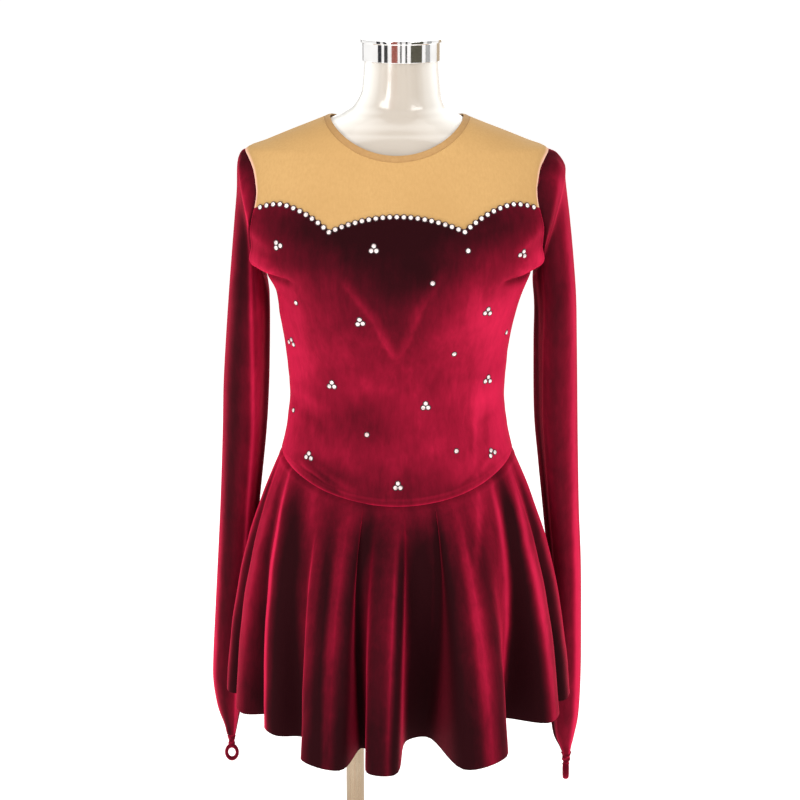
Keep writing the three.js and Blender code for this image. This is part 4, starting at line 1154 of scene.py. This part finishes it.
# Rings down each sleeve: the outer side's reach and height, the inner side's, the middle's y and half depth.
SLEEVES = {
    "left": [
        (0.1815, 1.307, 0.160, 1.170, 0.000, 0.055),
        (0.1855, 1.294, 0.156, 1.163, 0.005, 0.051),
        (0.1870, 1.264, 0.1535, 1.154, 0.009, 0.048),
        (0.1905, 1.228, 0.1515, 1.143, 0.009, 0.047),
        (0.1945, 1.185, 0.151, 1.132, 0.007, 0.047),
        (0.1986, 1.139, 0.151, 1.116, 0.005, 0.049),
        (0.204, 1.080, 0.1525, 1.072, 0.010, 0.045),
        (0.2085, 1.026, 0.155, 1.022, 0.017, 0.041),
        (0.212, 0.964, 0.160, 0.962, 0.028, 0.037),
        (0.219, 0.861, 0.172, 0.860, 0.044, 0.033),
        (0.2285, 0.738, 0.184, 0.738, 0.056, 0.030),
        (0.2345, 0.655, 0.193, 0.655, 0.060, 0.028),
        (0.235, 0.622, 0.196, 0.622, 0.060, 0.026),
        (0.2305, 0.588, 0.201, 0.588, 0.060, 0.019),
        (0.223, 0.562, 0.206, 0.562, 0.060, 0.010),
        (0.2205, 0.548, 0.2085, 0.548, 0.060, 0.006),
    ],
    "right": [
        (0.186, 1.307, 0.1645, 1.170, 0.000, 0.055),
        (0.1955, 1.293, 0.161, 1.163, 0.005, 0.051),
        (0.197, 1.276, 0.161, 1.153, 0.009, 0.048),
        (0.203, 1.232, 0.162, 1.143, 0.009, 0.047),
        (0.208, 1.187, 0.163, 1.132, 0.007, 0.047),
        (0.212, 1.139, 0.1635, 1.116, 0.003, 0.049),
        (0.2145, 1.085, 0.164, 1.078, 0.007, 0.045),
        (0.2185, 0.993, 0.167, 0.992, 0.018, 0.040),
        (0.2215, 0.930, 0.1735, 0.930, 0.027, 0.036),
        (0.225, 0.861, 0.1815, 0.861, 0.035, 0.032),
        (0.2295, 0.791, 0.189, 0.791, 0.040, 0.030),
        (0.232, 0.706, 0.194, 0.706, 0.042, 0.028),
        (0.233, 0.640, 0.196, 0.640, 0.042, 0.026),
        (0.2315, 0.586, 0.197, 0.586, 0.042, 0.020),
        (0.227, 0.556, 0.201, 0.556, 0.042, 0.013),
        (0.224, 0.540, 0.208, 0.540, 0.042, 0.008),
        (0.2225, 0.529, 0.2125, 0.529, 0.042, 0.0055),
    ],
}
# Folds that run down each sleeve: the place round it (0 outside, 90 in front, 180 beside the body) at the
# top and at the end, half the width, the height at the top and at the end, and the painted light and shade
# along it at both (light above 0, shade below).
SLEEVE_FOLDS = {
    "left": [
        (6, 6, 20, 0.0008, 0.0008, -0.46, 0.00),
        (62, 60, 24, -0.0016, 0.0006, -0.36, -0.36),
        (84, 132, 6, 0.0020, 0.0010, 0.42, 0.30),
        (98, 146, 10, 0.0010, 0.0006, 0.00, 0.30),
        (136, 160, 12, -0.0024, -0.0010, -0.14, 0.04),
        (160, 174, 14, 0.0010, 0.0008, -0.44, -0.30),
        (215, 215, 20, -0.0016, -0.0012, -0.26, -0.26),
        (248, 240, 9, 0.0018, 0.0010, 0.20, 0.20),
        (275, 280, 12, -0.0008, 0.0004, -0.10, -0.10),
        (312, 306, 20, -0.0014, -0.0010, -0.30, -0.30),
        (338, 334, 8, 0.0012, 0.0008, 0.10, 0.10),
    ],
    "right": [
        (4, 4, 20, -0.0006, 0.0008, -0.30, -0.24),
        (52, 42, 14, 0.0014, 0.0010, 0.04, 0.36),
        (78, 78, 12, -0.0008, -0.0004, -0.02, -0.04),
        (104, 100, 22, 0.0006, 0.0008, -0.16, -0.02),
        (122, 134, 4, 0.0020, 0.0012, -0.06, 0.14),
        (130, 150, 14, -0.0020, -0.0006, -0.40, -0.10),
        (156, 160, 12, -0.0030, -0.0014, -0.34, -0.42),
        (178, 178, 10, 0.0014, 0.0010, -0.26, -0.26),
        (222, 222, 18, -0.0016, -0.0012, -0.28, -0.28),
        (252, 246, 9, 0.0018, 0.0010, 0.20, 0.20),
        (280, 284, 12, -0.0008, 0.0004, -0.12, -0.12),
        (316, 308, 20, -0.0014, -0.0010, -0.30, -0.30),
        (340, 336, 8, 0.0012, 0.0008, 0.10, 0.10),
    ],
}
FOLD_WANDER = 4
PUCKER_HEIGHT = 0.0009
PUCKERS = 14
SLEEVE_TONE = 0.46
SLEEVE_DRIFT = 0.03
HEAD_SHADE = 0.20
HEAD_EDGE_SHADE = 0.34
HEAD_EDGE_PLACE = 5
HEAD_EDGE_HALF = 30
# Painted highlights on each sleeve: the place round it, half its width, how far down and half its length
# there, and the amount.
SLEEVE_LIGHTS = {
    "left": [(72, 30, 0.115, 0.05, 0.42), (14, 34, 0.78, 0.13, 0.40), (64, 14, 0.80, 0.10, 0.20)],
    "right": [(50, 30, 0.115, 0.05, 0.14), (40, 30, 0.74, 0.15, 0.30), (96, 22, 0.76, 0.14, 0.10)],
}
SEAM_RISE = 0.0016
SEAM_LEAN = 0.25
MOUTH_DIRECTION = {"left": 235, "right": 270}
MOUTH_HALF = 75
MOUTH_ROWS = 3
ROWS_PER_STRETCH = 14
SLEEVE_STEPS = 80


def smooth_rows(rows, at):
    """Rings at fractional places between the listed ones, on a smooth curve through them."""
    last = len(rows) - 1
    index = np.clip(np.floor(at).astype(int), 0, last - 1)
    t = (at - index)[:, None, None]
    p0, p1 = rows[np.maximum(index - 1, 0)], rows[index]
    p2, p3 = rows[index + 1], rows[np.minimum(index + 2, last)]
    first = (index == 0)[:, None, None]
    final = (index == last - 1)[:, None, None]
    slope_in = np.where(first, p2 - p1, (p2 - p0) / 2)
    slope_out = np.where(final, p2 - p1, (p3 - p1) / 2)
    return (p1 * (2 * t ** 3 - 3 * t ** 2 + 1) + slope_in * (t ** 3 - 2 * t ** 2 + t)
            + p2 * (3 * t ** 2 - 2 * t ** 3) + slope_out * (t ** 3 - t ** 2))


def sleeve_rings(side):
    """The sleeve's rings from the armhole down, as rows of points of the right side."""
    angle = np.linspace(0, 2 * math.pi, SLEEVE_STEPS + 1)
    rings = []
    for away in (0, SEAM_RISE):
        turn, z = armhole_place(angle, -SEAM_GAP / 2 - away * SEAM_LEAN)
        ring = cloth_point(turn, z, np.full(turn.shape, EASE + WALL))
        ring[:, 0] += away - (left_draw(z) if side == "left" else 0)
        rings.append(ring)
    for out, out_z, inner, in_z, mid_y, depth in SLEEVES[side]:
        x = (out + inner) / 2 + (out - inner) / 2 * np.cos(angle)
        z = (out_z + in_z) / 2 + (out_z - in_z) / 2 * np.cos(angle)
        rings.append(np.stack([x, mid_y - depth * np.sin(angle), z], axis=-1))
    return np.degrees(angle), np.array(rings)


def sleeve_piece(side):
    """A sleeve with its folds and its painted light and shade, its end cut open towards the palm."""
    sign = -1 if side == "left" else 1
    angle, rings = sleeve_rings(side)
    last = len(rings) - 1
    at = np.linspace(0, last, last * ROWS_PER_STRETCH + 1)
    from_mouth = np.abs(turned_from(angle, MOUTH_DIRECTION[side]))
    lift = MOUTH_ROWS * np.maximum(0, np.cos(np.minimum(1, from_mouth / MOUTH_HALF) * math.pi / 2))
    begin = last - MOUTH_ROWS - 1
    points = np.zeros((len(at), len(angle), 3))
    for column in range(len(angle)):
        short = (last - lift[column] - begin) / (last - begin)
        place = np.where(at > begin, begin + short * (at - begin), at)
        points[:, column] = smooth_rows(rings[:, column:column + 1], place)[:, 0]
    points[..., 0] *= sign
    down, angle = (at / last)[:, None], angle[None, :]
    folds = np.zeros(points.shape[:2])
    # Painted light and shade in the sleeve's colour: a base tone with random drift, painted shade over the
    # head and its outer edge, the painted highlights, and painted light and shade along the folds.
    painted_shading = SLEEVE_TONE + SLEEVE_DRIFT * uneven(points[..., 0], points[..., 2], 0.03)
    painted_shading = painted_shading - HEAD_SHADE * share01(1.4 - down * 9)
    at_edge = hill(turned_from(angle, HEAD_EDGE_PLACE), HEAD_EDGE_HALF)
    painted_shading = painted_shading - HEAD_EDGE_SHADE * at_edge * share01(1.7 - down * 6)
    for place, half, along, half_length, light in SLEEVE_LIGHTS[side]:
        painted_shading = painted_shading + light * hill(turned_from(angle, place), half) * hill(down - along, half_length)
    begun, shaded = share01((down - 0.08) * 6), share01((down - 0.05) * 9)
    for top_place, end_place, half, top_height, end_height, top_lie, end_lie in SLEEVE_FOLDS[side]:
        place = top_place + (end_place - top_place) * down + FOLD_WANDER * np.sin(down * 9 + top_place)
        near = hill(turned_from(angle, place), half)
        folds += (top_height + (end_height - top_height) * down) * near
        painted_shading = painted_shading + (top_lie + (end_lie - top_lie) * down) * near * shaded
    middle = points.mean(axis=1, keepdims=True)
    outward = points - middle
    outward /= np.maximum(1e-6, np.linalg.norm(outward, axis=-1, keepdims=True))
    folds *= begun * share01((1.0 - down) * 8)
    head = share01(1 - np.abs(down - 0.12) / 0.10) * np.cos(np.radians(angle)).clip(0)
    folds += PUCKER_HEIGHT * head * np.sin(np.radians(angle) * PUCKERS + 0.6)
    points = points + outward * folds[..., None]
    points[:, -1] = points[:, 0]
    piece = cloth_sheet(f"velvet_sleeve_{side}", points[:, ::sign], {"painted_shading": painted_shading[:, ::sign]}, is_closed=True)
    finish_piece(piece, velvet, "velvet", f"sleeve_{side}")


for side in SLEEVES:
    sleeve_piece(side)


# Finger loops: a rolled strap of velvet sewn to each sleeve's point, twisted at its stem, with a ring
# below for the middle finger.

STRAP_RADIUS = 0.0030
STEM_RADIUS = 0.0044
STRAP_VOXEL = 0.0005
STEM_SPREAD = {"head": 1.15, "foot": 0.85}
STEM_TWIST = 0.22
STEM_TURNS = 4.5
STEM_TUCK = 0.004
STEM_CUTS = 5
STEM_FOLLOWS = 0.7
STRAP_DEPTH = 0.85
LOOP_HALF_HEIGHT = 0.0121
LOOPS = {
    "left": {"x": -0.2145, "y": 0.060, "top": 0.5477, "stem": 0.014, "half_width": 0.0092,
             "thick": 1.0, "turned": 0},
    "right": {"x": 0.2175, "y": 0.042, "top": 0.5287, "stem": 0.012, "half_width": 0.008,
              "thick": 1.55, "turned": 90},
}

for side, loop in LOOPS.items():
    ring_middle = loop["top"] - loop["stem"] - LOOP_HALF_HEIGHT
    ring = start(f"loop_ring_{side}", bpy.ops.mesh.primitive_torus_add, minor_radius=STRAP_RADIUS,
                 major_radius=LOOP_HALF_HEIGHT - STRAP_RADIUS, major_segments=48, minor_segments=14,
                 rotation=(math.pi / 2, 0, 0))
    settle(ring)
    ring.scale = (loop["half_width"] / LOOP_HALF_HEIGHT, STRAP_DEPTH * loop["thick"], 1)
    settle(ring)
    stem_length = loop["stem"] + STRAP_RADIUS + STEM_TUCK
    stem_foot = LOOP_HALF_HEIGHT - STRAP_RADIUS
    stem = start(f"loop_stem_{side}", bpy.ops.mesh.primitive_cylinder_add, vertices=28,
                 radius=STEM_RADIUS, depth=stem_length, location=(0, 0, stem_foot + stem_length / 2))
    settle(stem)
    edit(stem, bpy.ops.mesh.subdivide, number_cuts=STEM_CUTS)
    for vertex in stem.data.vertices:
        rise = (vertex.co.z - LOOP_HALF_HEIGHT) / loop["stem"]
        around = math.atan2(vertex.co.y, vertex.co.x)
        twist = STEM_TWIST * math.cos(2 * (around - rise * STEM_TURNS))
        widening = (STEM_SPREAD["head"] - STEM_SPREAD["foot"]) * max(0, min(1, rise))
        spread = STEM_SPREAD["foot"] + widening + twist
        vertex.co.x *= spread
        vertex.co.y *= spread * STRAP_DEPTH * loop["thick"] ** STEM_FOLLOWS
    take(ring, stem)
    bpy.ops.object.join()
    ring.name = f"finger_strap_{side}"
    ring.rotation_euler = (0, 0, math.radians(loop["turned"]))
    ring.location = (loop["x"], loop["y"], ring_middle)
    settle(ring)
    modify(ring, "REMESH", mode="VOXEL", voxel_size=STRAP_VOXEL)
    modify(ring, "SMOOTH", factor=0.5, iterations=2)
    smooth(ring, 180)
    store(ring, "painted_shading", np.full(len(ring.data.vertices), VELVET_TONE))
    finish_piece(ring, velvet, "velvet", f"finger_loop_{side}")


# Stones: foil-backed cut glass, glued on one by one, each on a low ring a little wider than itself whose
# dark colour is a painted shadow round the stone. A close row follows the sweetheart edge, and groups of
# three and single ones are scattered over the front.

STONE_RADIUS = 0.0025
STONE_HEIGHT = 0.0019
STONE_SIDES = 10
RIM_RADIUS = 0.0035
RIM_HEIGHT = 0.0005
GIRDLE_SHARE = 0.25
TABLE_SHARE = 0.56
STONE_SINK = 0.0002
STONE_PITCH = 0.0078
STONE_WHITE = (0.80, 0.71, 0.69, 1)
STONE_GREY = (0.52, 0.43, 0.43, 1)
RIM_SHADOW_COLOUR = (0.012, 0.002, 0.004, 1)
ROW_BELOW_EDGE = 0.0018
ROW_DROP_AT_CUSP = 0.0006
CUSP_HALF = 0.008
ROW_STOPS_SHORT = 0.002
GROUP_SPREAD = 0.0033
# Groups of three: x and z of the middle, and the direction of the first stone from it.
GROUPS = [
    (-0.1347, 1.214, 0),
    (-0.0256, 1.215, 90),
    (-0.0414, 1.132, 100),
    (-0.0751, 1.0495, 90),
    (0.0332, 1.0265, 90),
    (0.1032, 1.139, 80),
    (0.1058, 1.051, 80),
    (-0.1033, 0.961, 85),
    (0.0012, 0.934, 90),
    (0.1117, 0.963, -5),
    (0.1427, 1.203, 70),
    (-0.1225, 1.094, 85),
]
SINGLES = [
    (0.0799, 1.212),
    (0.0401, 1.178),
    (-0.1148, 1.147),
    (0.0654, 1.0905),
    (-0.0347, 0.993),
    (0.0691, 0.972),
    (0.1271, 1.105),
    (-0.1222, 1.007),
]

stone = start("stone", bpy.ops.mesh.primitive_cylinder_add, vertices=STONE_SIDES, radius=RIM_RADIUS,
              depth=RIM_HEIGHT, location=(0, 0, RIM_HEIGHT / 2))
settle(stone)
open_top(stone)
bpy.ops.mesh.inset(thickness=RIM_RADIUS - STONE_RADIUS, depth=0)
for rise, wide in ((GIRDLE_SHARE, 1.0), (1 - GIRDLE_SHARE, TABLE_SHARE)):
    raise_top((STONE_HEIGHT - RIM_HEIGHT) * rise)
    bpy.ops.transform.resize(value=(wide, wide, 1), center_override=(0, 0, STONE_HEIGHT))
bpy.ops.object.mode_set(mode="OBJECT")
rim_faces = {face.index for face in stone.data.polygons if face.center.z <= RIM_HEIGHT * 1.01}


def seat(target, x, z):
    """The point and normal of the target's front where x and z are."""
    hit, place, normal, _ = target.ray_cast(Vector((x, -1, z)), Vector((0, 1, 0)))
    if not hit:
        raise ValueError(f"no cloth in front at {x}, {z}")
    return place, normal


def seat_over_seam(x, z):
    """The point and normal where a stone bridges the seam between the velvet and the mesh."""
    turn = turn_at(np.array(x), z)
    flat = Vector(cloth_point(turn, z, np.array(EASE + WALL)))
    normal = (Vector(cloth_point(turn, z, np.array(EASE + 2 * WALL))) - flat).normalized()
    below, _ = seat(bodice_front, x, z - RIM_RADIUS / 2)
    return flat + normal * max(0.0, (below - flat).dot(normal)), normal


def set_stones(name, seats):
    """Copies of the stone at the seats, which are points and normals, joined into one piece."""
    copies = []
    for place, normal in seats:
        copy = stone.copy()
        copy.data = stone.data.copy()
        bpy.context.scene.collection.objects.link(copy)
        copy.rotation_mode = "QUATERNION"
        copy.rotation_quaternion = normal.to_track_quat("Z", "Y")
        copy.location = place - normal * STONE_SINK
        copies.append(copy)
    take(*copies)
    bpy.ops.object.join()
    joined = bpy.context.object
    joined.name = name
    joined.data.name = name
    settle(joined)
    return joined


def row_height(x):
    """The height of the row of stones: close under the velvet's edge, and a little lower at the cusps."""
    near_cusp = hill(np.abs(x) - CUSP_REACH, CUSP_HALF)
    return sweetheart_height(x) - ROW_BELOW_EDGE - ROW_DROP_AT_CUSP * near_cusp


row_x = np.linspace(0, CORNER_REACH - ROW_STOPS_SHORT, 4000)
row_length = np.concatenate([[0], np.cumsum(np.hypot(np.diff(row_x), np.diff(row_height(row_x))))])
row_seats = []
for index in range(int(row_length[-1] / STONE_PITCH) + 1):
    x = float(np.interp(index * STONE_PITCH, row_length, row_x))
    for reach in sorted({x, -x}):
        row_seats.append(seat_over_seam(reach, row_height(np.array(reach))))
scatter = list(SINGLES)
for x, z, first in GROUPS:
    for direction in (first, first + 120, first + 240):
        radians = math.radians(direction)
        scatter.append((x + GROUP_SPREAD * math.cos(radians), z + GROUP_SPREAD * math.sin(radians)))

cut_glass, tree, principled = shader("cut_glass", Metallic=0.15, Roughness=0.10, Coat_Weight=1.0,
                                     Coat_Roughness=0.03)
where = node(tree, "ShaderNodeTexNoise", {"Vector": object_point(tree), "Scale": 420.0, "Detail": 1.0})
tree.links.new(colour_mix(tree, range_of(tree, where.outputs["Fac"], 0.30, 0.50), STONE_GREY, STONE_WHITE),
               principled.inputs["Base Color"])
# A painted shadow: the ring under each stone is dark, mottled towards the deep velvet colour.
stone_shadow_rim, tree, principled = shader("stone_shadow_rim", Roughness=0.6)
tree.links.new(colour_mix(tree, mottled(tree, 300.0, 900.0, 0.5, 0.2), RIM_SHADOW_COLOUR, VELVET_DEEP),
               principled.inputs["Base Color"])
scattered_seats = [seat(bodice_front, x, z) for x, z in scatter]
for name, seats in (("stones_sweetheart", row_seats), ("stones_scattered", scattered_seats)):
    stones = set_stones(name, seats)
    finish_piece(stones, cut_glass, "stones")
    stones.data.materials.append(stone_shadow_rim)
    for index, face in enumerate(stones.data.polygons):
        face.material_index = 1 if index % len(stone.data.polygons) in rim_faces else 0
bpy.data.objects.remove(stone)


# Studio: a pale floor in pale surroundings, and large soft lights from both sides of the front, from
# above and from behind.

FLOOR_SIZE = 120
FLOOR_GLOW = 0.62
WALL_WHITE = (0.95, 0.94, 0.93, 1)

floor = start("floor", bpy.ops.mesh.primitive_plane_add, size=FLOOR_SIZE)
pale_floor, _, _ = shader("pale_floor", Roughness=0.9, Base_Color=WALL_WHITE, Emission_Color=WALL_WHITE,
                          Emission_Strength=FLOOR_GLOW)
floor.data.materials.append(pale_floor)

# Boards of several tones all round, which only the gloss of the cap and the form picks up: the
# direction from the front (degrees to the right), width, and colour.
BOARD_DISTANCE = 3.0
BOARD_HEIGHT = 3.2
BOARDS = [
    (-68, 0.70, (0.02, 0.02, 0.025, 1)),
    (-47, 0.62, (0.03, 0.03, 0.03, 1)),
    (-20, 1.00, (0.30, 0.08, 0.06, 1)),
    (-1, 0.26, (0.02, 0.02, 0.02, 1)),
    (15, 0.28, (0.02, 0.02, 0.02, 1)),
    (47, 2.00, (0.07, 0.065, 0.045, 1)),
    (87, 1.00, (0.35, 0.35, 0.35, 1)),
    (146, 1.60, (0.45, 0.36, 0.26, 1)),
    (200, 0.80, (0.25, 0.25, 0.25, 1)),
]
for index, (direction, width, colour) in enumerate(BOARDS):
    radians = math.radians(direction)
    place = (BOARD_DISTANCE * math.sin(radians), -BOARD_DISTANCE * math.cos(radians), BOARD_HEIGHT / 2)
    board = start(f"board_{index}", bpy.ops.mesh.primitive_plane_add, size=1, location=place,
                  rotation=(math.pi / 2, 0, radians))
    board.scale = (width, BOARD_HEIGHT, 1)
    settle(board)
    material, _, _ = shader(f"board_{index}", Roughness=1.0, Base_Color=colour)
    board.data.materials.append(material)
    board.visible_camera = False
    board.visible_diffuse = False
    board.visible_shadow = False

LIGHT_AIM = Vector((0, 0, 1.0))
LIGHTS = [
    ("front_left", (-1.9, -2.4, 2.0), 1.5, 62),
    ("front_right", (2.0, -2.2, 2.2), 1.5, 48),
    ("above", (0.0, -0.6, 3.4), 2.0, 22),
    ("behind", (0.6, 2.9, 2.3), 2.4, 26),
]
for name, place, size, power in LIGHTS:
    bpy.ops.object.light_add(type="AREA", location=place)
    light = bpy.context.object
    light.name = name
    light.data.size = size
    light.data.energy = power
    light.rotation_euler = (LIGHT_AIM - Vector(place)).to_track_quat("-Z", "Y").to_euler()

FILL_STRENGTH = 0.45
GLOSS_STRENGTH = 0.85
BACKDROP_STRENGTH = 1.05

world = bpy.data.worlds.new("studio")
bpy.context.scene.world = world
world.use_nodes = True
tree = world.node_tree
ray = node(tree, "ShaderNodeLightPath").outputs
lit = range_of(tree, ray["Is Glossy Ray"], 0.0, 1.0, FILL_STRENGTH, GLOSS_STRENGTH)
seen = range_of(tree, ray["Is Camera Ray"], 0.0, 1.0, 0.0, BACKDROP_STRENGTH - FILL_STRENGTH)
backdrop = node(tree, "ShaderNodeMath", {0: lit, 1: seen}, operation="ADD").outputs[0]
tree.nodes["Background"].inputs["Color"].default_value = (1.0, 0.99, 0.98, 1)
tree.links.new(backdrop, tree.nodes["Background"].inputs["Strength"])
bpy.context.scene.view_settings.view_transform = "Standard"
